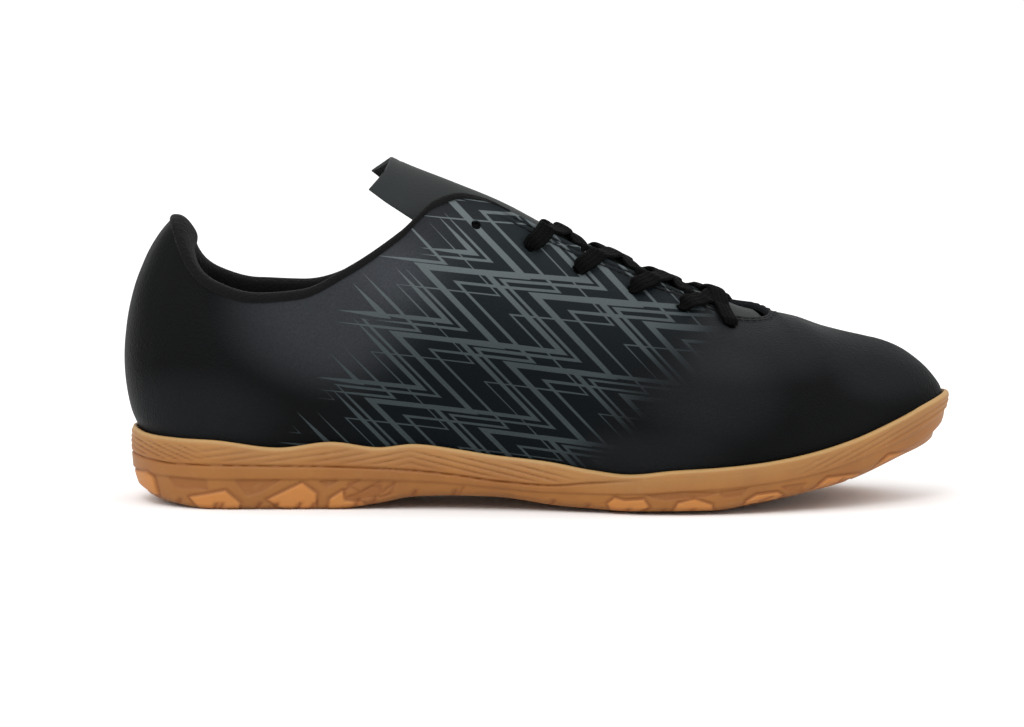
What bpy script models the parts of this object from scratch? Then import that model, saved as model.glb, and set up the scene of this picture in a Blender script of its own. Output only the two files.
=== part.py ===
"""Indoor soccer shoe for the right foot, standing empty on its sole.

The toe points along +X, the outer side of the foot faces -Y, the inner side +Y, and +Z is up.
Everything is in metres. The sole outline, the shell of the upper and all that fits them are
worked out from the named sizes below and from short tables, one row for each section.
"""

import math

import bmesh
import bpy
import numpy as np
from mathutils import Vector
from mathutils.bvhtree import BVHTree

# Driving sizes of the last and the shell
LENGTH = 0.2895
BALL_WIDTH = 0.104
HEEL_HEIGHT = 0.0993
COLLAR_HEIGHT = 0.0733
INSTEP_HEIGHT = 0.1085
TOE_HEIGHT = 0.0660
WALL = 0.002
CLEARANCE = 0.0003

# Driving sizes of the sole
HEEL_OVERHANG = 0.0015
RIM_HEIGHT = 0.0263
TOE_SPRING = 0.028
ARCH_LIFT = 0.005
FLOOR_HEIGHT = 0.0132
RIM_INSET = 0.0022
RIM_TOP_INSET = 0.0009
FOOT_INSET = 0.0060
GROOVE_DEPTH = 0.0010
GROOVE_WIDTH = 0.0012
GROOVE_END = 0.62
GROOVE_FADE = 0.05
SIDE_LEAN = 0.0011
STEP_DEPTH = 0.0008
LUG_PROUD = 0.0009
EDGE_HEIGHT = 0.0014
EDGE_RISE = 0.0014
EDGE_INSET = 0.0048
TREAD_WIDTH = 0.0020
TREAD_DEPTH = 0.0014

# Sizes of the lining, tongue, insole, laces and eyelets
PAD_THICKNESS = 0.0042
PAD_END = 0.30
PAD_FADE = 0.35
TAB_PAD = 1.5
ROLL_HEIGHT = 0.0034
TONGUE_THICKNESS = 0.0040
INSOLE_THICKNESS = 0.0035
LACE_WIDTH = 0.0058
LACE_THICKNESS = 0.0014
LACE_GAP = 0.0005
LACE_REACH = 0.74
LACE_STEEPEST = 0.35
THROAT_ARCH = 0.0012
EYELET_RADIUS = 0.0021
EYELET_INSET = 0.0100

# Sole outline, seen from above: share of the sole length, middle line and half width as shares
# of the ball width. The ends are rounded by HEEL_ROUND and TOE_ROUND.
OUTLINE = (
    # along  middle   half
    (0.000, 0.000, 0.3370),
    (0.120, 0.000, 0.3370),
    (0.250, -0.010, 0.3220),
    (0.350, -0.029, 0.3130),
    (0.450, -0.040, 0.3290),
    (0.550, -0.036, 0.3950),
    (0.640, -0.022, 0.4760),
    (0.710, 0.004, 0.4930),
    (0.800, 0.024, 0.4560),
    (0.880, 0.042, 0.3800),
    (0.940, 0.052, 0.3250),
    (1.000, 0.058, 0.3000),
)
HEEL_ROUND = 0.125
TOE_ROUND = 0.150

# Heights of the sole, side view, as shares of TOE_SPRING, ARCH_LIFT, FLOOR_HEIGHT, RIM_HEIGHT
# and EDGE_RISE: its underside at both ends and at the arch, the floor inside the cup, the step
# and the groove on its side, the rim round the upper, and the rise of its lower edge.
SOLE = (
    # along spring arch  floor step  groove rim   edge
    (0.000, 0.20, 0.00, 1.18, 0.44, 0.660, 1.000, 0.0),
    (0.020, 0.12, 0.00, 1.12, 0.43, 0.630, 0.955, 0.0),
    (0.055, 0.04, 0.00, 1.05, 0.42, 0.600, 0.940, 0.0),
    (0.100, 0.00, 0.00, 1.00, 0.41, 0.600, 0.930, 0.0),
    (0.184, 0.00, 0.00, 0.98, 0.41, 0.590, 0.830, 0.0),
    (0.247, 0.00, 0.00, 0.98, 0.41, 0.580, 0.905, 0.0),
    (0.304, 0.00, 0.44, 0.98, 0.40, 0.560, 0.835, 0.0),
    (0.346, 0.00, 0.90, 0.97, 0.39, 0.535, 0.880, 0.0),
    (0.400, 0.00, 1.00, 0.94, 0.36, 0.475, 0.815, 0.0),
    (0.440, 0.00, 0.96, 0.90, 0.32, 0.415, 0.750, 0.0),
    (0.510, 0.00, 0.44, 0.79, 0.27, 0.365, 0.670, 0.1),
    (0.560, 0.00, 0.16, 0.70, 0.27, 0.415, 0.580, 0.5),
    (0.600, 0.00, 0.00, 0.66, 0.28, 0.450, 0.540, 0.8),
    (0.660, 0.00, 0.00, 0.66, 0.32, 0.480, 0.600, 1.0),
    (0.710, 0.00, 0.00, 0.68, 0.35, 0.500, 0.630, 1.1),
    (0.764, 0.07, 0.00, 0.76, 0.40, 0.550, 0.680, 1.5),
    (0.822, 0.19, 0.00, 0.95, 0.49, 0.650, 0.780, 1.3),
    (0.880, 0.36, 0.00, 1.26, 0.65, 0.810, 0.940, 0.5),
    (0.938, 0.59, 0.00, 1.76, 0.87, 1.040, 1.170, 0.3),
    (0.970, 0.71, 0.00, 2.15, 1.03, 1.190, 1.320, 0.3),
    (1.000, 0.90, 0.00, 2.55, 1.22, 1.330, 1.440, 0.3),
)

# Sections of the upper from heel to toe. The foot of a section is on the rim at the share
# "foot" of the sole length. Its top is on the collar, the throat edge or the ridge of the toe,
# at the share "top" of the length, half gap and middle as shares of the ball width. The leans
# are degrees: outwards from upright at the rim, and up from level at the top. The pulls are
# the handle lengths of the curve between them, as shares of its chord. The inner lift is how
# much higher the top is on the inner side of the foot, as a share of the ball width.
SECTIONS = (
    # foot   top    half gap middle  height               leans    pulls       inner lift
    (0.000, 0.0570, 0.000, 0.000, 1.000 * HEEL_HEIGHT, 23, 44, 0.33, 0.29, 0.000),
    (0.008, 0.0580, 0.060, 0.000, 0.992 * HEEL_HEIGHT, 22, 47, 0.33, 0.29, 0.000),
    (0.030, 0.0640, 0.135, 0.000, 0.940 * HEEL_HEIGHT, 19, 58, 0.33, 0.30, 0.000),
    (0.070, 0.0800, 0.215, 0.000, 0.842 * HEEL_HEIGHT, 16, 68, 0.33, 0.32, 0.000),
    (0.120, 0.1080, 0.270, 0.000, 1.050 * COLLAR_HEIGHT, 13, 74, 0.33, 0.33, 0.000),
    (0.190, 0.1580, 0.303, -0.004, 1.000 * COLLAR_HEIGHT, 11, 78, 0.33, 0.33, 0.000),
    (0.260, 0.2130, 0.318, -0.008, 1.018 * COLLAR_HEIGHT, 9, 79, 0.33, 0.33, -0.018),
    (0.330, 0.2740, 0.322, -0.010, 1.135 * COLLAR_HEIGHT, 8, 77, 0.33, 0.33, -0.050),
    (0.395, 0.3340, 0.305, -0.010, 0.877 * INSTEP_HEIGHT, 8, 72, 0.33, 0.33, -0.050),
    (0.440, 0.3780, 0.265, -0.010, 0.980 * INSTEP_HEIGHT, 9, 63, 0.34, 0.33, -0.040),
    (0.470, 0.4060, 0.232, -0.010, 1.000 * INSTEP_HEIGHT, 10, 56, 0.34, 0.33, -0.036),
    (0.500, 0.4330, 0.207, -0.010, 0.988 * INSTEP_HEIGHT, 11, 51, 0.35, 0.33, -0.032),
    (0.530, 0.4650, 0.183, -0.010, 0.950 * INSTEP_HEIGHT, 12, 47, 0.36, 0.33, -0.027),
    (0.570, 0.5070, 0.165, -0.008, 0.889 * INSTEP_HEIGHT, 13, 44, 0.37, 0.33, -0.014),
    (0.610, 0.5520, 0.155, -0.006, 0.828 * INSTEP_HEIGHT, 14, 41, 0.38, 0.34, -0.005),
    (0.650, 0.5960, 0.146, -0.004, 0.775 * INSTEP_HEIGHT, 14, 38, 0.39, 0.35, 0.000),
    (0.690, 0.6410, 0.137, -0.002, 0.722 * INSTEP_HEIGHT, 14, 33, 0.40, 0.36, 0.000),
    (0.730, 0.6960, 0.122, 0.000, 0.658 * INSTEP_HEIGHT, 13, 26, 0.41, 0.37, 0.014),
    (0.765, 0.7380, 0.102, 0.002, 0.996 * TOE_HEIGHT, 12, 18, 0.42, 0.38, 0.032),
    (0.785, 0.7570, 0.082, 0.003, 0.982 * TOE_HEIGHT, 11, 12, 0.42, 0.39, 0.036),
    (0.800, 0.7700, 0.057, 0.004, 0.979 * TOE_HEIGHT, 10, 7, 0.42, 0.40, 0.029),
    (0.815, 0.7780, 0.030, 0.006, 0.985 * TOE_HEIGHT, 9, 4, 0.42, 0.40, 0.014),
    (0.830, 0.7810, 0.000, 0.010, 1.000 * TOE_HEIGHT, 7, 2, 0.42, 0.40, 0.000),
    (0.860, 0.8000, 0.000, 0.014, 0.984 * TOE_HEIGHT, 3, 3, 0.42, 0.41, 0.000),
    (0.900, 0.8300, 0.000, 0.020, 0.937 * TOE_HEIGHT, -5, 6, 0.42, 0.41, 0.000),
    (0.940, 0.8620, 0.000, 0.026, 0.902 * TOE_HEIGHT, -14, 9, 0.42, 0.40, 0.000),
    (0.970, 0.8850, 0.000, 0.036, 0.880 * TOE_HEIGHT, -22, 11, 0.40, 0.38, 0.000),
    (1.000, 0.9080, 0.000, 0.048, 0.857 * TOE_HEIGHT, -29, 14, 0.36, 0.34, 0.000),
)
THROAT_FRONT = 0.830
COLLAR_FRONT = 0.530

# The tongue: share of the length, height of its middle line, its half width, and how far its
# edges hang below the middle, at the top, at each row of eyelets and under the toe box.
TONGUE = (
    # along  height                 half                drop
    (0.3210, 1.112 * INSTEP_HEIGHT, 0.225 * BALL_WIDTH, 0.085 * BALL_WIDTH),
    (0.3380, 1.092 * INSTEP_HEIGHT, 0.226 * BALL_WIDTH, 0.150 * BALL_WIDTH),
    (0.3960, 1.032 * INSTEP_HEIGHT, 0.214 * BALL_WIDTH, 0.175 * BALL_WIDTH),
    (0.4620, 0.958 * INSTEP_HEIGHT, 0.214 * BALL_WIDTH, 0.155 * BALL_WIDTH),
    (0.5070, 0.886 * INSTEP_HEIGHT, 0.222 * BALL_WIDTH, 0.145 * BALL_WIDTH),
    (0.5520, 0.824 * INSTEP_HEIGHT, 0.234 * BALL_WIDTH, 0.132 * BALL_WIDTH),
    (0.5960, 0.770 * INSTEP_HEIGHT, 0.246 * BALL_WIDTH, 0.128 * BALL_WIDTH),
    (0.6410, 0.717 * INSTEP_HEIGHT, 0.238 * BALL_WIDTH, 0.118 * BALL_WIDTH),
    (0.6960, 0.650 * INSTEP_HEIGHT, 0.226 * BALL_WIDTH, 0.104 * BALL_WIDTH),
    (0.7500, 0.966 * TOE_HEIGHT, 0.200 * BALL_WIDTH, 0.075 * BALL_WIDTH),
    (0.8000, 0.930 * TOE_HEIGHT, 0.175 * BALL_WIDTH, 0.055 * BALL_WIDTH),
)
TONGUE_CORNER = 0.025 * LENGTH
CORNER_RUN = 0.05

# Rows of eyelets along the throat. The lace starts at the second row.
EYELETS = (0.4255, 0.4890, 0.5480, 0.6135, 0.6725, 0.7300)
FIRST_LACED = 1

# Lugs along the side of the sole, from and to, and the tread grooves across its underside
SIDE_LUGS = (
    (0.080, 0.145), (0.174, 0.234), (0.247, 0.312), (0.580, 0.632), (0.658, 0.705),
    (0.740, 0.784), (0.823, 0.884), (0.899, 0.943),
)
HEEL_GROOVES = (0.075, 0.120, 0.165, 0.210, 0.255)
FOREFOOT_GROOVES = (0.560, 0.605, 0.650, 0.695, 0.740, 0.785, 0.830, 0.875)
TREAD_ZIGZAG = 0.022 * LENGTH

# How finely the pieces are faceted
RIM_SHARE = 0.15
LINING_FROM = 0.60
TAB_TURN = 0.20
UPPER_LEVELS = (0.0, 0.075, RIM_SHARE, 0.28, 0.41, 0.53, 0.65, 0.77, 0.89, 1.0)
SIDE_STATIONS = 48
CENTRE_IN = (0.070, 0.080)

COLOURS = {
    "outsole": ((0.46, 0.19, 0.065), 0.55),
    "upper": ((0.014, 0.016, 0.018), 0.42),
    "collar_lining": ((0.008, 0.008, 0.009), 0.90),
    "tongue": ((0.018, 0.020, 0.021), 0.50),
    "insole": ((0.012, 0.012, 0.013), 0.85),
    "lace": ((0.006, 0.006, 0.007), 0.80),
}


def follow(table, column, size=1.0):
    """A smooth curve through one column of a table, with no overshoot between its rows."""
    at = np.array([row[0] for row in table], float)
    value = size * np.array([row[column] for row in table], float)
    step = np.diff(at)
    slope = np.diff(value) / step
    tangent = np.zeros(len(at))
    tangent[0] = slope[0]
    tangent[-1] = slope[-1]
    for k in range(1, len(at) - 1):
        if slope[k - 1] * slope[k] > 0:
            before = 2 * step[k] + step[k - 1]
            after = step[k] + 2 * step[k - 1]
            tangent[k] = (before + after) / (before / slope[k - 1] + after / slope[k])

    def value_at(share):
        k = int(np.clip(np.searchsorted(at, share) - 1, 0, len(at) - 2))
        t = min(max((share - at[k]) / step[k], 0.0), 1.0)
        rise = value[k + 1] - value[k]
        start = step[k] * tangent[k]
        end = step[k] * tangent[k + 1]
        return value[k] + t * (start + t * (3 * rise - 2 * start - end + t * (start + end - 2 * rise)))

    return value_at


outline_middle = follow(OUTLINE, 1)
outline_half = follow(OUTLINE, 2)
spring = follow(SOLE, 1, TOE_SPRING)
arch = follow(SOLE, 2, ARCH_LIFT)
cup_floor = follow(SOLE, 3, FLOOR_HEIGHT)
side_step, side_groove, rim = [follow(SOLE, k, RIM_HEIGHT) for k in range(4, 7)]
edge_rise = follow(SOLE, 7, EDGE_RISE)
top_share, half_gap, top_middle, top_height, rim_lean, top_lean, rim_pull, top_pull, inner_lift = [
    follow(SECTIONS, k) for k in range(1, 10)
]
tongue_height, tongue_half, tongue_drop = [follow(TONGUE, k) for k in range(1, 4)]


def underside(share):
    return spring(share) + arch(share)


def sole_x(share):
    return -LENGTH / 2 + HEEL_OVERHANG + share * (LENGTH - HEEL_OVERHANG)


def sole_share(x):
    return (x + LENGTH / 2 - HEEL_OVERHANG) / (LENGTH - HEEL_OVERHANG)


def length_x(share):
    return LENGTH * (share - 0.5)


def share_of(turn):
    """Share of the sole length at a turn round the outline, 0 at the heel and 1 at the toe."""
    return (1 - math.cos(math.pi * turn)) / 2


def turn_of(share):
    return math.acos(1 - 2 * min(max(share, 0.0), 1.0)) / math.pi


def side_of(u):
    """Side and turn of a place round the shoe: u runs from -1 to 1, outer side below 0."""
    u = (u + 1) % 2 - 1
    return (-1 if u < 0 else 1), abs(u)


def outline_point(u):
    side, turn = side_of(u)
    share = share_of(turn)
    heel = min(share / HEEL_ROUND, 1.0)
    toe = min((1 - share) / TOE_ROUND, 1.0)
    rounding = math.sqrt(max(1 - (1 - heel) ** 2, 0)) * math.sqrt(max(1 - (1 - toe) ** 2, 0))
    y = outline_middle(share) + side * outline_half(share) * rounding
    return np.array([sole_x(share), BALL_WIDTH * y, 0.0])


def outward(u):
    """Level direction that points straight out of the outline."""
    along = outline_point(u + 1e-4) - outline_point(u - 1e-4)
    normal = np.array([-along[1], along[0], 0.0])
    return normal / np.linalg.norm(normal)


def outline_inset(u, inset, height):
    point = outline_point(u) - inset * outward(u)
    point[2] = height
    return point


def bezier(a, b, c, d, t):
    return (1 - t) ** 3 * a + 3 * (1 - t) ** 2 * t * b + 3 * (1 - t) * t * t * c + t ** 3 * d


def upper_section(u):
    """Foot, rim point and top of the section at u, with its directions at rim and top."""
    side, turn = side_of(u)
    share = share_of(turn)
    out = outward(u)
    foot = outline_inset(u, FOOT_INSET, 0.0)
    foot[2] = cup_floor(sole_share(foot[0])) + CLEARANCE
    at_rim = outline_inset(u, RIM_INSET, rim(share))
    top_y = BALL_WIDTH * (top_middle(share) + side * half_gap(share))
    top = np.array([length_x(top_share(share)), top_y, top_height(share)])
    if side > 0:
        top[2] += BALL_WIDTH * inner_lift(share)
    lean = math.radians(rim_lean(share))
    rise = math.radians(top_lean(share))
    start = math.sin(lean) * out + np.array([0, 0, math.cos(lean)])
    end = -math.cos(rise) * out + np.array([0, 0, math.sin(rise)])
    return foot, at_rim, top, start, end


def upper_point(u, v):
    """Point on the outside of the upper: v is 0 at the foot, RIM_SHARE at the rim, 1 at the top."""
    foot, at_rim, top, start, end = upper_section(u)
    if v < RIM_SHARE:
        reach = 0.4 * np.linalg.norm(at_rim - foot)
        up = np.array([0, 0, reach])
        return bezier(foot, foot + up, at_rim - reach * start, at_rim, v / RIM_SHARE)
    share = share_of(side_of(u)[1])
    chord = np.linalg.norm(top - at_rim)
    low = at_rim + rim_pull(share) * chord * start
    high = top - top_pull(share) * chord * end
    return bezier(at_rim, low, high, top, (v - RIM_SHARE) / (1 - RIM_SHARE))


def upper_normal(u, v):
    below = min(v, 0.985)
    around = upper_point(u + 5e-4, below) - upper_point(u - 5e-4, below)
    up = upper_point(u, min(v + 2e-3, 1.0)) - upper_point(u, max(v - 2e-3, 0.0))
    normal = np.cross(up, around)
    return normal / np.linalg.norm(normal)


def off_upper(u, v, out):
    """Point at a distance outside the upper, or inside it where the distance is negative."""
    return upper_point(u, v) + out * upper_normal(u, v)


def below_top(u, distance):
    """The v that lies this far down the wall from the top of its section."""
    v = 1.0
    travelled = 0.0
    last = upper_point(u, v)
    while travelled < distance and v > RIM_SHARE:
        v -= 0.005
        point = upper_point(u, v)
        travelled += np.linalg.norm(point - last)
        last = point
    return v


def spot_below_top(side, share, distance):
    """Place on the upper at a share of the length and a distance below its top edge."""
    low, high = 0.2, 0.95
    for _ in range(30):
        turn = (low + high) / 2
        u = side * turn
        v = below_top(u, distance)
        if upper_point(u, v)[0] < length_x(share):
            low = turn
        else:
            high = turn
    return u, v


class Skin:
    """Collects the corners and faces of one closed body, each corner once under its own key."""

    def __init__(self):
        self.points = []
        self.faces = []
        self.index = {}

    def corner(self, key, point):
        if key not in self.index:
            self.index[key] = len(self.points)
            self.points.append(tuple(float(c) for c in point))
        return self.index[key]

    def make(self, name, material_name, smooth=40):
        mesh = bpy.data.meshes.new(name)
        mesh.from_pydata(self.points, [], self.faces)
        body = bmesh.new()
        body.from_mesh(mesh)
        bmesh.ops.recalc_face_normals(body, faces=body.faces)
        if body.calc_volume(signed=True) < 0:
            bmesh.ops.reverse_faces(body, faces=body.faces)
        body.to_mesh(mesh)
        body.free()
        mesh.shade_smooth()
        mesh.set_sharp_from_angle(angle=math.radians(smooth))
        mesh.materials.append(material(material_name))
        piece = bpy.data.objects.new(name, mesh)
        bpy.context.scene.collection.objects.link(piece)
        return piece


def material(name):
    found = bpy.data.materials.get(name)
    if found:
        return found
    colour, roughness = COLOURS[name]
    made = bpy.data.materials.new(name)
    made.use_nodes = True
    shader = made.node_tree.nodes["Principled BSDF"]
    shader.inputs["Base Color"].default_value = (*colour, 1.0)
    shader.inputs["Roughness"].default_value = roughness
    shader.inputs["Metallic"].default_value = 0.0
    made.diffuse_color = (*colour, 1.0)
    return made


def upper_turns():
    """Turns of the sections, closer together where the throat ends."""
    bend = turn_of(SECTIONS[17][0])
    front = turn_of(THROAT_FRONT)
    return np.concatenate([
        np.linspace(0, bend, 27)[:-1],
        np.linspace(bend, front, 7)[:-1],
        np.linspace(front, 1, 12),
    ])


def make_upper():
    turns = upper_turns()
    closed = int(np.argmin(abs(turns - turn_of(THROAT_FRONT))))
    last = len(turns) - 1
    top = len(UPPER_LEVELS) - 1
    skin = Skin()

    def corner(side, i, k, out):
        v = UPPER_LEVELS[k]
        shared = i in (0, last) or (k == top and i >= closed)
        if not shared:
            return skin.corner((side, i, k, out), off_upper(side * turns[i], v, out))
        both = [off_upper(s * turns[i], v, out) for s in (-1, 1)]
        return skin.corner((0, i, k, out), (both[0] + both[1]) / 2)

    for side in (-1, 1):
        for i in range(last):
            for out in (0.0, -WALL):
                for k in range(top):
                    near, far = (i, i + 1) if side > 0 else (i + 1, i)
                    ring = ((near, k), (far, k), (far, k + 1), (near, k + 1))
                    face = [corner(side, a, b, out) for a, b in ring]
                    for half in ([face[0], face[1], face[2]], [face[0], face[2], face[3]]):
                        skin.faces.append(half if out < 0 else half[::-1])
            edges = [0] + ([top] if i < closed else [])
            for k in edges:
                face = [
                    corner(side, i, k, 0.0), corner(side, i + 1, k, 0.0),
                    corner(side, i + 1, k, -WALL), corner(side, i, k, -WALL),
                ]
                skin.faces.append(face if (side < 0) == (k == 0) else face[::-1])
    piece = skin.make("upper", "upper")
    cut(piece, eyelet_punches(), "eyelets")
    return piece


def eyelet_punches():
    """One pin through the wall for each eyelet."""
    skin = Skin()
    sides = 8
    for side in (-1, 1):
        for row, share in enumerate(EYELETS):
            u, v = spot_below_top(side, share, EYELET_INSET)
            axis = Vector(upper_normal(u, v))
            across = axis.orthogonal().normalized()
            other = axis.cross(across)
            middle = Vector(off_upper(u, v, -WALL / 2))
            rings = []
            for end in (-1, 1):
                ring = []
                for k in range(sides):
                    angle = 2 * math.pi * k / sides
                    reach = EYELET_RADIUS * (math.cos(angle) * across + math.sin(angle) * other)
                    point = middle + end * 1.5 * WALL * axis + reach
                    ring.append(skin.corner((side, row, end, k), point))
                rings.append(ring)
            skin.faces += [rings[0][::-1], rings[1]]
            for k in range(sides):
                n = (k + 1) % sides
                skin.faces.append([rings[0][k], rings[0][n], rings[1][n], rings[1][k]])
    return skin.make("eyelet_punches", "upper")


def cut(piece, cutter, name, operation="DIFFERENCE"):
    cutter.hide_render = True
    cutter.display_type = "WIRE"
    modifier = piece.modifiers.new(name, "BOOLEAN")
    modifier.operation = operation
    modifier.solver = "EXACT"
    modifier.object = cutter


def even_turns(count):
    """Turns with equal steps along the outline."""
    fine = np.linspace(0, 1, 400)
    points = np.array([outline_point(-t) for t in fine])
    run = np.concatenate([[0], np.cumsum(np.linalg.norm(np.diff(points, axis=0), axis=1))])
    return np.interp(np.linspace(0, run[-1], count + 1), run, fine)


def centre_point(turn, height_of):
    """Point on the middle line that a section of the sole runs to."""
    first, final = CENTRE_IN
    share = first + (1 - first - final) * share_of(turn)
    x = sole_x(share)
    return np.array([x, BALL_WIDTH * outline_middle(share), height_of(share)])


def on_height(point, height_of, lift=0.0):
    placed = np.array(point, float)
    placed[2] = height_of(sole_share(placed[0])) + lift
    return placed


def fan_solid(name, material_name, turns, profile):
    """Closed body whose sections fan out from the middle line to both sides of the outline."""
    skin = Skin()
    last = len(turns) - 1
    sections = {}
    for side in (-1, 1):
        for i, turn in enumerate(turns):
            sections[side, i] = profile(side * turn)
    count = len(sections[1, 0])

    def corner(side, i, k):
        shared = i in (0, last) or k in (0, count - 1)
        if not shared:
            return skin.corner((side, i, k), sections[side, i][k])
        return skin.corner((0, i, k), (sections[-1, i][k] + sections[1, i][k]) / 2)

    for side in (-1, 1):
        for i in range(last):
            for k in range(count - 1):
                ring = ((i, k), (i + 1, k), (i + 1, k + 1), (i, k + 1))
                face = [corner(side, a, b) for a, b in ring]
                skin.faces.append(face if side < 0 else face[::-1])
    return skin.make(name, material_name)


def lug_at(share):
    """1 on a lug of the side, 0 between lugs."""
    return float(any(start <= share <= end for start, end in SIDE_LUGS))


def outsole_profile(u):
    """From the cup floor over the rim and down the side to the middle of the underside."""
    turn = side_of(u)[1]
    share = share_of(turn)
    top_centre = centre_point(turn, cup_floor)
    wall_foot = upper_point(u, 0.0) + CLEARANCE * outward(u)
    wall_foot[2] -= CLEARANCE
    points = [top_centre]
    for part in (0.5, 0.85):
        points.append(on_height(top_centre + part * (wall_foot - top_centre), cup_floor))
    points += [wall_foot, off_upper(u, RIM_SHARE / 2, CLEARANCE)]
    rim_top = off_upper(u, RIM_SHARE, CLEARANCE)
    rim_top[2] = rim(share)
    points.append(rim_top)
    edge_height = underside(share) + edge_rise(share)
    groove = side_groove(share)
    step = side_step(share)
    depth = GROOVE_DEPTH * min(max((GROOVE_END - share) / GROOVE_FADE, 0.0), 1.0)
    proud = LUG_PROUD * lug_at(share)
    levels = (
        (RIM_TOP_INSET, rim(share)),
        (0.2 * RIM_TOP_INSET, groove + 0.80 * (rim(share) - groove)),
        (0.0, groove + 0.45 * (rim(share) - groove)),
        (0.1 * SIDE_LEAN, groove + GROOVE_WIDTH / 2),
        (0.1 * SIDE_LEAN + depth, groove),
        (0.2 * SIDE_LEAN, groove - GROOVE_WIDTH / 2),
        (0.6 * SIDE_LEAN, step + STEP_DEPTH / 2),
        (0.6 * SIDE_LEAN + STEP_DEPTH, step - STEP_DEPTH / 2),
        (SIDE_LEAN + STEP_DEPTH - proud, edge_height + 0.5 * (step - edge_height)),
        (0.55 * EDGE_INSET - proud, edge_height + EDGE_HEIGHT),
        (EDGE_INSET - proud, edge_height),
    )
    points += [outline_inset(u, inset, height) for inset, height in levels]
    bottom_centre = centre_point(turn, underside)
    edge = points[-1]
    for part in (0.25, 0.6):
        points.append(on_height(edge + part * (bottom_centre - edge), underside))
    points.append(bottom_centre)
    return points


def tread_bars():
    """Zigzag bars that cut the tread grooves across the underside."""
    skin = Skin()
    legs = 6
    reach = 0.6 * BALL_WIDTH
    for n, share in enumerate(HEEL_GROOVES + FOREFOOT_GROOVES):
        x = sole_x(share)
        rows = []
        for k in range(legs + 1):
            y = reach * (2 * k / legs - 1)
            shift = TREAD_ZIGZAG * (0.5 if k % 2 else -0.5)
            row = []
            for side in (-1, 1):
                at = x + shift + side * TREAD_WIDTH / 2
                floor = underside(sole_share(at)) + TREAD_DEPTH
                row.append(skin.corner((n, k, side, 1), (at, y, floor)))
                row.append(skin.corner((n, k, side, 0), (at, y, floor - RIM_HEIGHT)))
            rows.append(row)
        for a, b in zip(rows, rows[1:]):
            skin.faces += [
                [a[0], b[0], b[2], a[2]], [a[1], a[3], b[3], b[1]],
                [a[0], a[1], b[1], b[0]], [a[2], b[2], b[3], a[3]],
            ]
        skin.faces += [[rows[0][k] for k in (0, 2, 3, 1)], [rows[-1][k] for k in (0, 1, 3, 2)]]
    return skin.make("tread_bars", "outsole")


def make_outsole():
    piece = fan_solid("outsole", "outsole", even_turns(SIDE_STATIONS), outsole_profile)
    cut(piece, tread_bars(), "tread")
    return piece


def make_insole():
    inset = FOOT_INSET + WALL + 2 * CLEARANCE

    def profile(u):
        turn = side_of(u)[1]
        edge = outline_inset(u, inset, 0.0)
        centre = centre_point(turn, cup_floor)
        low, high = CLEARANCE, CLEARANCE + INSOLE_THICKNESS
        points = []
        for lift, parts in ((high, (0.0, 0.5, 1.0)), (low, (1.0, 0.5, 0.0))):
            for part in parts:
                points.append(on_height(centre + part * (edge - centre), cup_floor, lift))
        return points

    return fan_solid("insole", "insole", even_turns(18), profile)


def sweep(skin, loops, tag=0):
    """Joins closed loops of equal length into one body, with a cap at each end."""
    count = len(loops[0])
    rows = []
    for i, loop in enumerate(loops):
        rows.append([skin.corner((tag, i, k), point) for k, point in enumerate(loop)])
    for a, b in zip(rows, rows[1:]):
        for k in range(count):
            n = (k + 1) % count
            skin.faces += [[a[k], a[n], b[n]], [a[k], b[n], b[k]]]
    skin.faces += [rows[0][::-1], rows[-1]]


def make_lining():
    """Padded lining that hangs inside the collar and rolls over its edge."""
    front = turn_of(COLLAR_FRONT)
    turns = [turn for turn in upper_turns() if turn <= front]
    levels = [v for v in UPPER_LEVELS if v >= LINING_FROM]
    behind = WALL + CLEARANCE
    roll = ROLL_HEIGHT
    loops = []
    for u in [-turn for turn in turns[:0:-1]] + turns:
        fade = min((front - abs(u)) / (PAD_FADE * front), 1.0)
        tab = max(1 - abs(u) / TAB_TURN, 0.0)
        pad = PAD_THICKNESS * (PAD_END + (1 - PAD_END) * fade + TAB_PAD * tab)
        top, end = upper_section(u)[2], upper_section(u)[4]
        normal = upper_normal(u, 1.0)
        loop = [off_upper(u, v, -behind) for v in levels]
        edge = (
            (CLEARANCE, -behind), (CLEARANCE, -0.2 * WALL), (0.45 * roll, -0.1 * WALL),
            (0.95 * roll, -0.5 * behind), (1.05 * roll, -behind - 0.25 * pad),
            (0.80 * roll, -behind - 0.75 * pad), (0.0, -behind - pad),
        )
        loop += [top + up * end + out * normal for up, out in edge]
        inside = ((levels[-2], pad), (levels[-3], 0.8 * pad), (levels[0], 0.3 * pad))
        loop += [off_upper(u, v, -behind - thick) for v, thick in inside]
        loops.append(loop)
    skin = Skin()
    sweep(skin, loops)
    return skin.make("collar_lining", "collar_lining")


def make_tongue():
    loops = []
    across = np.linspace(-1, 1, 9)
    first, final = TONGUE[0][0], TONGUE[-1][0]
    for share in np.linspace(first, final, 16):
        corner = TONGUE_CORNER * max(1 - (share - first) / CORNER_RUN, 0.0)
        rows = []
        for part in across:
            x = length_x(share) - corner * abs(part)
            y = BALL_WIDTH * top_middle(share) + part * tongue_half(share)
            z = tongue_height(share) - tongue_drop(share) * part * part
            rows.append(np.array([x, y, z]))
        under = [row - np.array([0, 0, TONGUE_THICKNESS]) for row in rows[::-1]]
        loops.append(rows + under)
    skin = Skin()
    sweep(skin, loops)
    return skin.make("tongue", "tongue")


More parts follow.
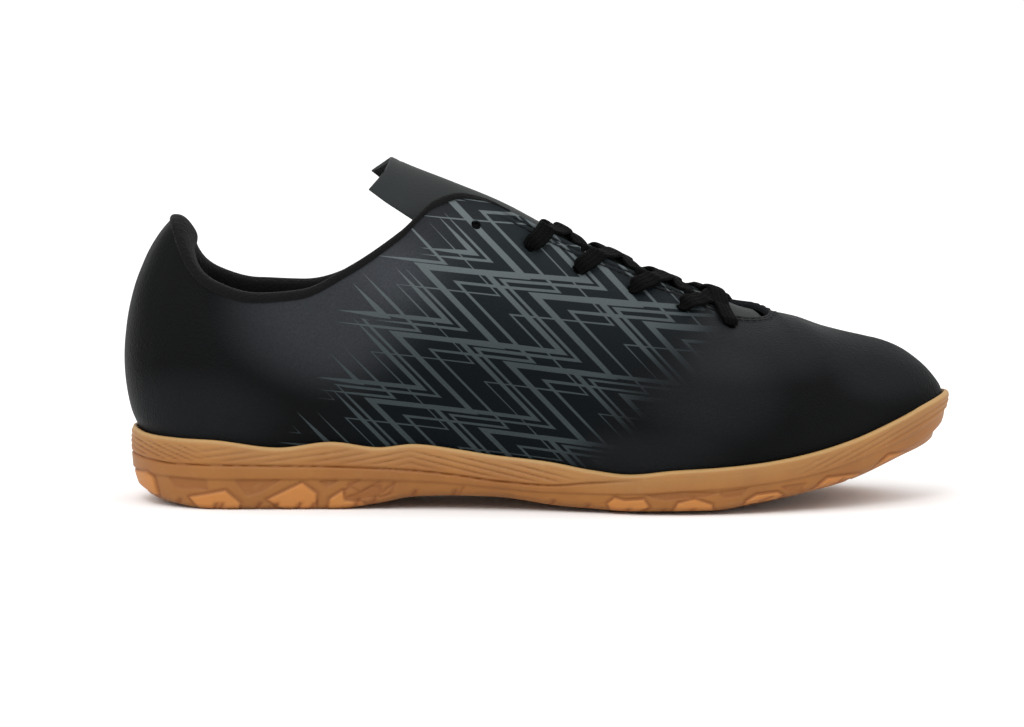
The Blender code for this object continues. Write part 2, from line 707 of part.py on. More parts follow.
def throat_cover():
    """The upper with its throat bridged by a low arch, which the lace lies on."""
    points = []
    faces = []
    turns = np.linspace(turn_of(0.40), turn_of(0.90), 60)
    levels = np.linspace(0.5, 1.0, 16)
    parts = np.linspace(0.0, 1.0, 9)[1:]
    width = 2 * len(levels) + len(parts) - 1
    for turn in turns:
        row = [upper_point(-turn, v) for v in levels]
        left, right = row[-1], upper_point(turn, 1.0)
        for part in parts[:-1]:
            bridge = left + part * (right - left)
            bridge[2] += 4 * THROAT_ARCH * part * (1 - part)
            row.append(bridge)
        row += [upper_point(turn, v) for v in levels[::-1]]
        points += [Vector(point) for point in row]
    for i in range(len(turns) - 1):
        for k in range(width - 1):
            a = i * width + k
            faces.append((a, a + 1, a + width + 1, a + width))
    return BVHTree.FromPolygons(points, faces)


def lace_run(cover, start, end, lift):
    """Loops of one flat run of lace over the throat, from one point to another."""
    start, end = np.array(start), np.array(end)
    steps = 8
    along = (end - start)[:2]
    aside = np.array([-along[1], along[0], 0.0]) / np.linalg.norm(along)
    loops = []
    for k in range(steps + 1):
        middle = start + (end - start) * k / steps
        hump = lift * math.sin(math.pi * k / steps) ** 2
        low = []
        for part in (-0.5, 0.0, 0.5):
            spot = middle + part * LACE_WIDTH * aside
            hit = cover.ray_cast(Vector((spot[0], spot[1], 1.0)), Vector((0, 0, -1)))
            slope = max(hit[1].z, LACE_STEEPEST)
            low.append(np.array([spot[0], spot[1], hit[0].z + LACE_GAP / slope + hump]))
        up = np.array([0, 0, LACE_THICKNESS])
        loops.append([low[0], low[1], low[2], low[2] + 0.7 * up, low[1] + 1.15 * up, low[0] + 0.7 * up])
    return loops


def make_laces():
    """One crossing for each pair of rows: two runs joined where they pass over each other."""
    cover = throat_cover()
    pieces = []
    for number, row in enumerate(range(FIRST_LACED, len(EYELETS) - 1), start=1):
        name = f"lace_crossing_{number}"
        runs = []
        for side, lift in ((1, 0.0), (-1, 0.6 * LACE_THICKNESS)):
            u, v = spot_below_top(side, EYELETS[row], 0.7 * EYELET_INSET)
            start = upper_point(u, v)
            u, v = spot_below_top(-side, EYELETS[row + 1], 0.0)
            end = upper_point(u, v)
            if row < len(EYELETS) - 2:
                end = start + LACE_REACH * (end - start)
            runs.append(lace_run(cover, start, end, lift))
        skins = [Skin(), Skin()]
        for skin, loops in zip(skins, runs):
            sweep(skin, loops)
        piece = skins[0].make(name, "lace")
        other = skins[1].make(f"{name}_upper_run", "lace")
        cut(piece, other, "crossing", "UNION")
        pieces.append(piece)
    return pieces


def stand_on_origin(pieces):
    """Puts the middle of the whole shoe, seen from above, over the origin."""
    bpy.context.view_layer.update()
    corners = [piece.matrix_world @ v.co for piece in pieces for v in piece.data.vertices]
    low = [min(c[k] for c in corners) for k in range(3)]
    high = [max(c[k] for c in corners) for k in range(3)]
    frame = bpy.data.objects.new("shoe", None)
    bpy.context.scene.collection.objects.link(frame)
    frame.location = (-(low[0] + high[0]) / 2, -(low[1] + high[1]) / 2, -low[2])
    for item in bpy.context.scene.objects:
        if item is not frame:
            item.parent = frame


def main():
    for item in list(bpy.data.objects):
        bpy.data.objects.remove(item)
    pieces = [make_outsole(), make_upper(), make_lining(), make_tongue(), make_insole()]
    pieces += make_laces()
    stand_on_origin(pieces)


main()
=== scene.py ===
"""Indoor soccer shoe for the right foot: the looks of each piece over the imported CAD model.

Everything is in metres, with the toe along +X, the outer side of the foot towards -Y and +Z up.
"""

import math

import bpy
import bmesh
import numpy as np
from bpy.props import FloatProperty, FloatVectorProperty, PointerProperty
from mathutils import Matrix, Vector
from mathutils.bvhtree import BVHTree


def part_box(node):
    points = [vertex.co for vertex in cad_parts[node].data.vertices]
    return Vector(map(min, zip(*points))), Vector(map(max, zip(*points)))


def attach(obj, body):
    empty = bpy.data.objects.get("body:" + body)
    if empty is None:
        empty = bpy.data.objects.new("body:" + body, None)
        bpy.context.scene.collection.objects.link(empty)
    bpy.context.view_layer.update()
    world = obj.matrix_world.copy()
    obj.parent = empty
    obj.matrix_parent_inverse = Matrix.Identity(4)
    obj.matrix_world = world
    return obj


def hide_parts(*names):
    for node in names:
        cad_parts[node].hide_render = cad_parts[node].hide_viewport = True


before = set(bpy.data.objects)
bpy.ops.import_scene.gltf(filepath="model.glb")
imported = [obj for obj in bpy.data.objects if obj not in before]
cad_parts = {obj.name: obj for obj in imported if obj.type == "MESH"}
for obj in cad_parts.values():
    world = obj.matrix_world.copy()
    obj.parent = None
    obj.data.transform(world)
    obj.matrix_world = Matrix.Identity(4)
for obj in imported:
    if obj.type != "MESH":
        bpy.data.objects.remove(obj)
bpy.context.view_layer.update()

bl_info = {
    "name": "Indoor soccer shoe",
    "version": (1, 0, 0),
    "blender": (4, 5, 0),
    "location": "3D View > Sidebar > Shoe",
    "description": "Builds the upper, sole, lining, tongue, insole and laces of a right shoe",
    "category": "Object",
}

MM = 0.001

# Sizes of the last, the shell and the sole, the same as in the CAD
LENGTH = 0.2895
BALL_WIDTH = 0.104
HEEL_HEIGHT = 0.0993
COLLAR_HEIGHT = 0.0733
INSTEP_HEIGHT = 0.1085
TOE_HEIGHT = 0.0660
WALL = 0.002
CLEARANCE = 0.0003

HEEL_OVERHANG = 0.0015
RIM_HEIGHT = 0.0263
TOE_SPRING = 0.028
ARCH_LIFT = 0.005
FLOOR_HEIGHT = 0.0132
RIM_INSET = 0.0022
RIM_TOP_INSET = 0.0009
FOOT_INSET = 0.0060
GROOVE_DEPTH = 0.0010
GROOVE_WIDTH = 0.0012
GROOVE_END = 0.62
GROOVE_FADE = 0.05
SIDE_LEAN = 0.0011
STEP_DEPTH = 0.0008
EDGE_HEIGHT = 0.0014
EDGE_RISE = 0.0014
EDGE_INSET = 0.0048
TREAD_WIDTH = 0.0020
TREAD_DEPTH = 0.0014

PAD_THICKNESS = 0.0042
PAD_END = 0.30
PAD_FADE = 0.35
TAB_PAD = 1.5
ROLL_HEIGHT = 0.0034
TONGUE_THICKNESS = 0.0040
INSOLE_THICKNESS = 0.0035
THROAT_ARCH = 0.0012
EYELET_RADIUS = 0.0021
EYELET_INSET = 0.0100

# Sole outline, seen from above: share of the sole length, middle line and half width as shares
# of the ball width. The ends are rounded by HEEL_ROUND and TOE_ROUND.
OUTLINE = (
    # along  middle   half
    (0.000, 0.000, 0.3370),
    (0.120, 0.000, 0.3370),
    (0.250, -0.010, 0.3220),
    (0.350, -0.029, 0.3130),
    (0.450, -0.040, 0.3290),
    (0.550, -0.036, 0.3950),
    (0.640, -0.022, 0.4760),
    (0.710, 0.004, 0.4930),
    (0.800, 0.024, 0.4560),
    (0.880, 0.042, 0.3800),
    (0.940, 0.052, 0.3250),
    (1.000, 0.058, 0.3000),
)
HEEL_ROUND = 0.125
TOE_ROUND = 0.150

# Heights of the sole, side view, as shares of TOE_SPRING, ARCH_LIFT, FLOOR_HEIGHT, RIM_HEIGHT
# and EDGE_RISE: its underside at both ends and at the arch, the floor inside the cup, the step
# and the groove on its side, the rim round the upper, and the rise of its lower edge.
SOLE = (
    # along spring arch  floor step  groove rim   edge
    (0.000, 0.20, 0.00, 1.18, 0.44, 0.660, 1.000, 0.0),
    (0.020, 0.12, 0.00, 1.12, 0.43, 0.630, 0.955, 0.0),
    (0.055, 0.04, 0.00, 1.05, 0.42, 0.600, 0.940, 0.0),
    (0.100, 0.00, 0.00, 1.00, 0.41, 0.600, 0.930, 0.0),
    (0.184, 0.00, 0.00, 0.98, 0.41, 0.590, 0.830, 0.0),
    (0.247, 0.00, 0.00, 0.98, 0.41, 0.580, 0.905, 0.0),
    (0.304, 0.00, 0.44, 0.98, 0.40, 0.560, 0.835, 0.0),
    (0.346, 0.00, 0.90, 0.97, 0.39, 0.535, 0.880, 0.0),
    (0.400, 0.00, 1.00, 0.94, 0.36, 0.475, 0.815, 0.0),
    (0.440, 0.00, 0.96, 0.90, 0.32, 0.415, 0.750, 0.0),
    (0.510, 0.00, 0.44, 0.79, 0.27, 0.365, 0.670, 0.1),
    (0.560, 0.00, 0.16, 0.70, 0.27, 0.415, 0.580, 0.5),
    (0.600, 0.00, 0.00, 0.66, 0.28, 0.450, 0.540, 0.8),
    (0.660, 0.00, 0.00, 0.66, 0.32, 0.480, 0.600, 1.0),
    (0.710, 0.00, 0.00, 0.68, 0.35, 0.500, 0.630, 1.1),
    (0.764, 0.07, 0.00, 0.76, 0.40, 0.550, 0.680, 1.5),
    (0.822, 0.19, 0.00, 0.95, 0.49, 0.650, 0.780, 1.3),
    (0.880, 0.36, 0.00, 1.26, 0.65, 0.810, 0.940, 0.5),
    (0.938, 0.59, 0.00, 1.76, 0.87, 1.040, 1.170, 0.3),
    (0.970, 0.71, 0.00, 2.15, 1.03, 1.190, 1.320, 0.3),
    (1.000, 0.90, 0.00, 2.55, 1.22, 1.330, 1.440, 0.3),
)

# Sections of the upper from heel to toe. The foot of a section is on the rim at the share
# "foot" of the sole length. Its top is on the collar, the throat edge or the ridge of the toe,
# at the share "top" of the length, half gap and middle as shares of the ball width. The leans
# are degrees: outwards from upright at the rim, and up from level at the top. The pulls are
# the handle lengths of the curve between them, as shares of its chord. The inner lift is how
# much higher the top is on the inner side of the foot, as a share of the ball width.
SECTIONS = (
    # foot   top    half gap middle  height               leans    pulls       inner lift
    (0.000, 0.0570, 0.000, 0.000, 1.000 * HEEL_HEIGHT, 23, 44, 0.33, 0.29, 0.000),
    (0.008, 0.0580, 0.060, 0.000, 0.992 * HEEL_HEIGHT, 22, 47, 0.33, 0.29, 0.000),
    (0.030, 0.0640, 0.135, 0.000, 0.940 * HEEL_HEIGHT, 19, 58, 0.33, 0.30, 0.000),
    (0.070, 0.0800, 0.215, 0.000, 0.842 * HEEL_HEIGHT, 16, 68, 0.33, 0.32, 0.000),
    (0.120, 0.1080, 0.270, 0.000, 1.050 * COLLAR_HEIGHT, 13, 74, 0.33, 0.33, 0.000),
    (0.190, 0.1580, 0.303, -0.004, 1.000 * COLLAR_HEIGHT, 11, 78, 0.33, 0.33, 0.000),
    (0.260, 0.2130, 0.318, -0.008, 1.018 * COLLAR_HEIGHT, 9, 79, 0.33, 0.33, -0.018),
    (0.330, 0.2740, 0.322, -0.010, 1.135 * COLLAR_HEIGHT, 8, 77, 0.33, 0.33, -0.050),
    (0.395, 0.3340, 0.305, -0.010, 0.877 * INSTEP_HEIGHT, 8, 72, 0.33, 0.33, -0.050),
    (0.440, 0.3780, 0.265, -0.010, 0.980 * INSTEP_HEIGHT, 9, 63, 0.34, 0.33, -0.040),
    (0.470, 0.4060, 0.232, -0.010, 1.000 * INSTEP_HEIGHT, 10, 56, 0.34, 0.33, -0.036),
    (0.500, 0.4330, 0.207, -0.010, 0.988 * INSTEP_HEIGHT, 11, 51, 0.35, 0.33, -0.032),
    (0.530, 0.4650, 0.183, -0.010, 0.950 * INSTEP_HEIGHT, 12, 47, 0.36, 0.33, -0.027),
    (0.570, 0.5070, 0.165, -0.008, 0.889 * INSTEP_HEIGHT, 13, 44, 0.37, 0.33, -0.014),
    (0.610, 0.5520, 0.155, -0.006, 0.828 * INSTEP_HEIGHT, 14, 41, 0.38, 0.34, -0.005),
    (0.650, 0.5960, 0.146, -0.004, 0.775 * INSTEP_HEIGHT, 14, 38, 0.39, 0.35, 0.000),
    (0.690, 0.6410, 0.137, -0.002, 0.722 * INSTEP_HEIGHT, 14, 33, 0.40, 0.36, 0.000),
    (0.730, 0.6960, 0.122, 0.000, 0.658 * INSTEP_HEIGHT, 13, 26, 0.41, 0.37, 0.014),
    (0.765, 0.7380, 0.102, 0.002, 0.996 * TOE_HEIGHT, 12, 18, 0.42, 0.38, 0.032),
    (0.785, 0.7570, 0.082, 0.003, 0.982 * TOE_HEIGHT, 11, 12, 0.42, 0.39, 0.036),
    (0.800, 0.7700, 0.057, 0.004, 0.979 * TOE_HEIGHT, 10, 7, 0.42, 0.40, 0.029),
    (0.815, 0.7780, 0.030, 0.006, 0.985 * TOE_HEIGHT, 9, 4, 0.42, 0.40, 0.014),
    (0.830, 0.7810, 0.000, 0.010, 1.000 * TOE_HEIGHT, 7, 2, 0.42, 0.40, 0.000),
    (0.860, 0.8000, 0.000, 0.014, 0.984 * TOE_HEIGHT, 3, 3, 0.42, 0.41, 0.000),
    (0.900, 0.8300, 0.000, 0.020, 0.937 * TOE_HEIGHT, -5, 6, 0.42, 0.41, 0.000),
    (0.940, 0.8620, 0.000, 0.026, 0.902 * TOE_HEIGHT, -14, 9, 0.42, 0.40, 0.000),
    (0.970, 0.8850, 0.000, 0.036, 0.880 * TOE_HEIGHT, -22, 11, 0.40, 0.38, 0.000),
    (1.000, 0.9080, 0.000, 0.048, 0.857 * TOE_HEIGHT, -29, 14, 0.36, 0.34, 0.000),
)
THROAT_FRONT = 0.830
COLLAR_FRONT = 0.530

# The tongue: share of the length, height of its middle line, its half width, and how far its
# edges hang below the middle, at the top, at each row of eyelets and under the toe box. Its
# second row hangs less here than in the CAD.
TONGUE = (
    # along  height                 half                drop
    (0.3210, 1.112 * INSTEP_HEIGHT, 0.225 * BALL_WIDTH, 0.085 * BALL_WIDTH),
    (0.3380, 1.092 * INSTEP_HEIGHT, 0.226 * BALL_WIDTH, 0.114 * BALL_WIDTH),
    (0.3960, 1.032 * INSTEP_HEIGHT, 0.214 * BALL_WIDTH, 0.175 * BALL_WIDTH),
    (0.4620, 0.958 * INSTEP_HEIGHT, 0.214 * BALL_WIDTH, 0.155 * BALL_WIDTH),
    (0.5070, 0.886 * INSTEP_HEIGHT, 0.222 * BALL_WIDTH, 0.145 * BALL_WIDTH),
    (0.5520, 0.824 * INSTEP_HEIGHT, 0.234 * BALL_WIDTH, 0.132 * BALL_WIDTH),
    (0.5960, 0.770 * INSTEP_HEIGHT, 0.246 * BALL_WIDTH, 0.128 * BALL_WIDTH),
    (0.6410, 0.717 * INSTEP_HEIGHT, 0.238 * BALL_WIDTH, 0.118 * BALL_WIDTH),
    (0.6960, 0.650 * INSTEP_HEIGHT, 0.226 * BALL_WIDTH, 0.104 * BALL_WIDTH),
    (0.7500, 0.966 * TOE_HEIGHT, 0.200 * BALL_WIDTH, 0.075 * BALL_WIDTH),
    (0.8000, 0.930 * TOE_HEIGHT, 0.175 * BALL_WIDTH, 0.055 * BALL_WIDTH),
)
TONGUE_CORNER = 0.025 * LENGTH
CORNER_RUN = 0.05

# Rows of eyelets along the throat. The lace starts at the second row.
EYELETS = (0.4255, 0.4890, 0.5480, 0.6135, 0.6725, 0.7300)
FIRST_LACED = 1
TAB_TURN = 0.20
RIM_SHARE = 0.15
CENTRE_IN = (0.070, 0.080)
TREAD_ZIGZAG = 0.022 * LENGTH
HEEL_GROOVES = (0.075, 0.120, 0.165, 0.210, 0.255)
FOREFOOT_GROOVES = (0.560, 0.605, 0.650, 0.695, 0.740, 0.785, 0.830, 0.875)


def follow(table, column, unit_size=1.0):
    """A smooth curve through one column of a table, with no overshoot between its rows."""
    at = np.array([row[0] for row in table], float)
    value = unit_size * np.array([row[column] for row in table], float)
    step = np.diff(at)
    slope = np.diff(value) / step
    tangent = np.zeros(len(at))
    tangent[0] = slope[0]
    tangent[-1] = slope[-1]
    for k in range(1, len(at) - 1):
        if slope[k - 1] * slope[k] > 0:
            before = 2 * step[k] + step[k - 1]
            after = step[k] + 2 * step[k - 1]
            tangent[k] = (before + after) / (before / slope[k - 1] + after / slope[k])

    def value_at(share):
        share = np.asarray(share, float)
        k = np.clip(np.searchsorted(at, share) - 1, 0, len(at) - 2)
        t = np.clip((share - at[k]) / step[k], 0.0, 1.0)
        rise = value[k + 1] - value[k]
        start = step[k] * tangent[k]
        end = step[k] * tangent[k + 1]
        return value[k] + t * (start + t * (3 * rise - 2 * start - end + t * (start + end - 2 * rise)))

    return value_at


outline_middle = follow(OUTLINE, 1)
outline_half = follow(OUTLINE, 2)
spring = follow(SOLE, 1, TOE_SPRING)
arch = follow(SOLE, 2, ARCH_LIFT)
cup_floor = follow(SOLE, 3, FLOOR_HEIGHT)
side_step, side_groove, rim = [follow(SOLE, k, RIM_HEIGHT) for k in range(4, 7)]
edge_rise = follow(SOLE, 7, EDGE_RISE)
top_share, half_gap, top_middle, top_height, rim_lean, top_lean, rim_pull, top_pull, inner_lift = [
    follow(SECTIONS, k) for k in range(1, 10)
]
tongue_height, tongue_half, tongue_drop = [follow(TONGUE, k) for k in range(1, 4)]


def underside(share):
    """Height of the sole's underside along its middle."""
    return spring(share) + arch(share)


def sole_x(share):
    """Place along the shoe at a share of the sole's length."""
    return -LENGTH / 2 + HEEL_OVERHANG + share * (LENGTH - HEEL_OVERHANG)


def sole_share(x):
    """Share of the sole's length at a place along the shoe."""
    return (x + LENGTH / 2 - HEEL_OVERHANG) / (LENGTH - HEEL_OVERHANG)


def length_x(share):
    """Place along the shoe at a share of its whole length."""
    return LENGTH * (share - 0.5)


def share_of(turn):
    """Share of the length at a turn round the shoe, from 0 at the heel to 1 at the toe."""
    return (1 - np.cos(math.pi * turn)) / 2


def turn_of(share):
    """Turn round the shoe at a share of the length."""
    return np.arccos(1 - 2 * np.clip(share, 0.0, 1.0)) / math.pi


def vectors(x, y, z):
    """Arrays of x, y and z as one array of points."""
    return np.stack(np.broadcast_arrays(x, y, z), -1).astype(float)


def unit(v):
    """Vectors at length 1."""
    return v / np.maximum(np.linalg.norm(v, axis=-1, keepdims=True), 1e-12)


def smooth(value, low, high):
    """0 below low, 1 above high, and an even ramp between them."""
    t = np.clip((value - low) / (high - low), 0.0, 1.0)
    return t * t * (3 - 2 * t)


def side_of(u):
    """Side and turn of a place round the shoe: u runs from -1 to 1, outer side below 0."""
    u = (np.asarray(u, float) + 1) % 2 - 1
    return np.where(u < 0, -1.0, 1.0), np.abs(u)


def outline_point(u):
    """Point of the sole's outline, on the floor."""
    side, turn = side_of(u)
    share = share_of(turn)
    heel = np.minimum(share / HEEL_ROUND, 1.0)
    toe = np.minimum((1 - share) / TOE_ROUND, 1.0)
    rounding = np.sqrt(np.maximum(1 - (1 - heel) ** 2, 0)) * np.sqrt(np.maximum(1 - (1 - toe) ** 2, 0))
    y = outline_middle(share) + side * outline_half(share) * rounding
    return vectors(sole_x(share), BALL_WIDTH * y, 0.0)


def outward(u):
    """Level direction that points straight out of the outline."""
    along = outline_point(u + 1e-4) - outline_point(u - 1e-4)
    return unit(vectors(-along[..., 1], along[..., 0], 0.0))


def outline_inset(u, inset, height):
    """Point inside the outline, at a height."""
    point = outline_point(u) - np.asarray(inset)[..., None] * outward(u)
    point[..., 2] = height
    return point


def bezier(a, b, c, d, t):
    """Point of a curve from a to d with handles b and c."""
    t = t[..., None]
    return (1 - t) ** 3 * a + 3 * (1 - t) ** 2 * t * b + 3 * (1 - t) * t * t * c + t ** 3 * d


def upper_section(u):
    """Foot, rim point and top of the section at u, with its directions at rim and top."""
    side, turn = side_of(u)
    share = share_of(turn)
    out = outward(u)
    foot = outline_inset(u, FOOT_INSET, 0.0)
    foot[..., 2] = cup_floor(sole_share(foot[..., 0])) + CLEARANCE
    at_rim = outline_inset(u, RIM_INSET, rim(share))
    lift = np.where(side > 0, BALL_WIDTH * inner_lift(share), 0.0)
    top_y = BALL_WIDTH * (top_middle(share) + side * half_gap(share))
    top = vectors(length_x(top_share(share)), top_y, top_height(share) + lift)
    lean = np.radians(rim_lean(share))[..., None]
    rise = np.radians(top_lean(share))[..., None]
    up = np.array([0.0, 0.0, 1.0])
    start = np.sin(lean) * out + np.cos(lean) * up
    end = -np.cos(rise) * out + np.sin(rise) * up
    return foot, at_rim, top, start, end


def upper_point(u, v):
    """Point on the outside of the upper: v is 0 at the foot, RIM_SHARE at the rim, 1 at the top."""
    u, v = np.broadcast_arrays(np.asarray(u, float), np.asarray(v, float))
    foot, at_rim, top, start, end = upper_section(u)
    share = share_of(side_of(u)[1])[..., None]
    reach = 0.4 * np.linalg.norm(at_rim - foot, axis=-1, keepdims=True)
    low_part = bezier(foot, foot + reach * np.array([0.0, 0.0, 1.0]), at_rim - reach * start, at_rim,
                      np.clip(v / RIM_SHARE, 0, 1))
    chord = np.linalg.norm(top - at_rim, axis=-1, keepdims=True)
    low = at_rim + rim_pull(share) * chord * start
    high = top - top_pull(share) * chord * end
    high_part = bezier(at_rim, low, high, top, np.clip((v - RIM_SHARE) / (1 - RIM_SHARE), 0, 1))
    return np.where((v < RIM_SHARE)[..., None], low_part, high_part)


def upper_normal(u, v):
    """Direction straight out of the upper."""
    u, v = np.broadcast_arrays(np.asarray(u, float), np.asarray(v, float))
    below = np.minimum(v, 0.985)
    around = upper_point(u + 5e-4, below) - upper_point(u - 5e-4, below)
    up = upper_point(u, np.minimum(v + 2e-3, 1.0)) - upper_point(u, np.maximum(v - 2e-3, 0.0))
    return unit(np.cross(up, around))


def off_upper(u, v, out):
    """Point at a distance outside the upper, or inside it where the distance is negative."""
    return upper_point(u, v) + np.asarray(out)[..., None] * upper_normal(u, v)


def below_top(u, distance):
    """The v that lies this far down the wall from the top of its section."""
    levels = np.linspace(1.0, RIM_SHARE, 160)
    points = upper_point(np.full(levels.shape, float(u)), levels)
    run = np.concatenate([[0.0], np.cumsum(np.linalg.norm(np.diff(points, axis=0), axis=1))])
    return float(np.interp(distance, run, levels))


def spot_below_top(side, share, distance):
    """Place on the upper at a share of the length and a distance below its top edge."""
    low, high = 0.2, 0.95
    for _ in range(24):
        turn = (low + high) / 2
        u = side * turn
        v = below_top(u, distance)
        if upper_point(u, v)[0] < length_x(share):
            low = turn
        else:
            high = turn
    return u, v


def even_turns(count):
    """Turns with equal steps along the outline."""
    fine = np.linspace(0, 1, 800)
    points = outline_point(-fine)
    run = np.concatenate([[0], np.cumsum(np.linalg.norm(np.diff(points, axis=0), axis=1))])
    return np.interp(np.linspace(0, run[-1], count + 1), run, fine)


def around_shoe(count, turns=()):
    """Stations right round the shoe, the same on both sides, with the named turns among them."""
    half = even_turns(count)
    for turn in turns:
        half[np.argmin(abs(half - turn))] = turn
    return np.concatenate([-half[:0:-1], half[:-1]])


outer_edge = outline_point(np.linspace(-1, 1, 2001))
CAD_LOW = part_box("outsole")[0]
STAND = np.array([CAD_LOW.x - sole_x(0.0), CAD_LOW.y - outer_edge[:, 1].min(), 0.0])


def make_piece(name, points, faces, materials, slots=None, sharp=50, attributes=None):
    """Mesh object from arrays, standing where the CAD part stands."""
    mesh = bpy.data.meshes.new(name)
    mesh.from_pydata((np.asarray(points, float) + STAND).tolist(), [], [list(f) for f in faces])
    for item in materials:
        mesh.materials.append(item)
    if slots is not None:
        mesh.polygons.foreach_set("material_index", np.asarray(slots, np.int32))
    for key, values in (attributes or {}).items():
        layer = mesh.attributes.new(key, "FLOAT", "POINT")
        layer.data.foreach_set("value", np.asarray(values, np.float32))
    body = bmesh.new()
    body.from_mesh(mesh)
    bmesh.ops.remove_doubles(body, verts=body.verts, dist=2e-6)
    bmesh.ops.recalc_face_normals(body, faces=body.faces)
    if body.calc_volume(signed=True) < 0:
        bmesh.ops.reverse_faces(body, faces=body.faces)
    body.to_mesh(mesh)
    body.free()
    mesh.shade_smooth()
    mesh.set_sharp_from_angle(angle=math.radians(sharp))
    piece = bpy.data.objects.new(name, mesh)
    bpy.context.scene.collection.objects.link(piece)
    return piece


def place_piece(piece, slot, *nodes):
    """Rides a piece on the shoe in the place of its CAD nodes; the slot is not used."""
    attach(piece, "root")
    if nodes:
        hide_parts(*nodes)
    return piece


def ring_faces(rows, around, close_rows=False, close_around=True):
    """Quads between rings of equal length: rings times around corners, numbered ring by ring."""
    a = np.arange(rows if close_rows else rows - 1)
    b = np.arange(around if close_around else around - 1)
    i, k = np.meshgrid(a, b, indexing="ij")
    j, n = (i + 1) % rows, (k + 1) % around
    quads = np.stack([i * around + k, j * around + k, j * around + n, i * around + n], -1)
    return quads.reshape(-1, 4)


def join_sides(us, sheet, rows, stations=None):
    """Brings both sides of the shoe to the same points in these rows, where a sheet closes on itself."""
    pair = {round(float(u), 9): i for i, u in enumerate(us)}
    for i, u in enumerate(us):
        j = pair.get(round(float(-u), 9), i)
        if i < j and (stations is None or stations[i]):
            for k in rows:
                sheet[i, k] = sheet[j, k] = (sheet[i, k] + sheet[j, k]) / 2


def apply_modifiers(piece):
    """Makes the result of the modifiers the piece's own mesh."""
    graph = bpy.context.evaluated_depsgraph_get()
    mesh = bpy.data.meshes.new_from_object(piece.evaluated_get(graph))
    piece.modifiers.clear()
    old = piece.data
    piece.data = mesh
    bpy.data.meshes.remove(old)


def swept(loops):
    """Points and faces of a body that runs through closed loops, capped at both ends."""
    loops = np.asarray(loops, float)
    rows, around = loops.shape[:2]
    faces = ring_faces(rows, around).tolist()
    faces.append(list(range(around))[::-1])
    faces.append(list(range((rows - 1) * around, rows * around)))
    return loops.reshape(-1, 3), faces


def joined(bodies):
    """Several point and face lists as one."""
    points, faces, start = [], [], 0
    for body_points, body_faces in bodies:
        points.append(body_points)
        faces += [[start + k for k in face] for face in body_faces]
        start += len(body_points)
    return np.concatenate(points), faces


class Value:
    """A socket that takes part in Python sums: each operator adds its Math node."""

    def __init__(self, graph, socket):
        self.graph = graph
        self.socket = socket

    def _math(self, operation, first, second=None):
        return self.graph.node("ShaderNodeMath", {"operation": operation}, {0: first, 1: second})

    def __add__(self, other):
        return self._math("ADD", self, other)

    def __sub__(self, other):
        return self._math("SUBTRACT", self, other)

    def __rsub__(self, other):
        return self._math("SUBTRACT", other, self)

    def __mul__(self, other):
        return self._math("MULTIPLY", self, other)

    def __truediv__(self, other):
        return self._math("DIVIDE", self, other)

    __radd__ = __add__
    __rmul__ = __mul__

    def fraction(self):
        return self._math("FRACT", self)

    def absolute(self):
        return self._math("ABSOLUTE", self)

    def least(self, other):
        return self._math("MINIMUM", self, other)

    def most(self, other):
        return self._math("MAXIMUM", self, other)

    def ramp(self, low, high):
        """0 at low and 1 at high with soft ends, the other way round where high is below low."""
        if low > high:
            return 1 - self.ramp(high, low)
        return self.graph.node(
            "ShaderNodeMapRange", {"interpolation_type": "SMOOTHSTEP"},
            {"Value": self, "From Min": low, "From Max": high},
        )


class Finish:
    """A material under construction, with its Principled shader."""

    def __init__(self, name, **constants):
        self.material = bpy.data.materials.new(name)
        self.material.use_nodes = True
        self.tree = self.material.node_tree
        self.shader = self.tree.nodes["Principled BSDF"]
        for key, value in constants.items():
            self.shader.inputs[key.replace("_", " ")].default_value = value

    def node(self, kind, settings=None, sockets=None, output=0):
        made = self.tree.nodes.new(kind)
        for key, value in (settings or {}).items():
            setattr(made, key, value)
        for key, value in (sockets or {}).items():
            if value is None:
                continue
            if isinstance(value, Value):
                self.tree.links.new(value.socket, made.inputs[key])
            else:
                made.inputs[key].default_value = value
        return Value(self, made.outputs[output])

    def place(self):
        return self.node("ShaderNodeTexCoord", output="Object")

    def parts(self, vector):
        split = self.tree.nodes.new("ShaderNodeSeparateXYZ")
        self.tree.links.new(vector.socket, split.inputs[0])
        return [Value(self, output) for output in split.outputs]

    def attribute(self, name):
        return self.node("ShaderNodeAttribute", {"attribute_name": name}, output="Fac")

    def noise(self, grain, detail=3.0):
        sockets = {"Vector": self.place(), "Scale": 1 / grain, "Detail": detail}
        return self.node("ShaderNodeTexNoise", {}, sockets)

    def cells(self, grain, feature="F1"):
        sockets = {"Vector": self.place(), "Scale": 1 / grain}
        return self.node("ShaderNodeTexVoronoi", {"feature": feature}, sockets)

    def blend(self, mask, first, second):
        """The first colour where the mask is 0, and the second where it is 1."""
        made = self.tree.nodes.new("ShaderNodeMix")
        made.data_type = "RGBA"
        for index, value in ((0, mask), (6, first), (7, second)):
            if isinstance(value, Value):
                self.tree.links.new(value.socket, made.inputs[index])
            else:
                made.inputs[index].default_value = value if index == 0 else (*value, 1.0)
        return Value(self, made.outputs[2])

    def colour(self, value):
        self.tree.links.new(value.socket, self.shader.inputs["Base Color"])

    def rough(self, value):
        self.tree.links.new(value.socket, self.shader.inputs["Roughness"])

    def bump(self, *layers):
        """Raises the surface by each height, given with its depth in metres."""
        normal = None
        for height, depth in layers:
            sockets = {"Height": height, "Distance": depth, "Strength": 1.0, "Normal": normal}
            normal = self.node("ShaderNodeBump", {}, sockets)
        self.tree.links.new(normal.socket, self.shader.inputs["Normal"])


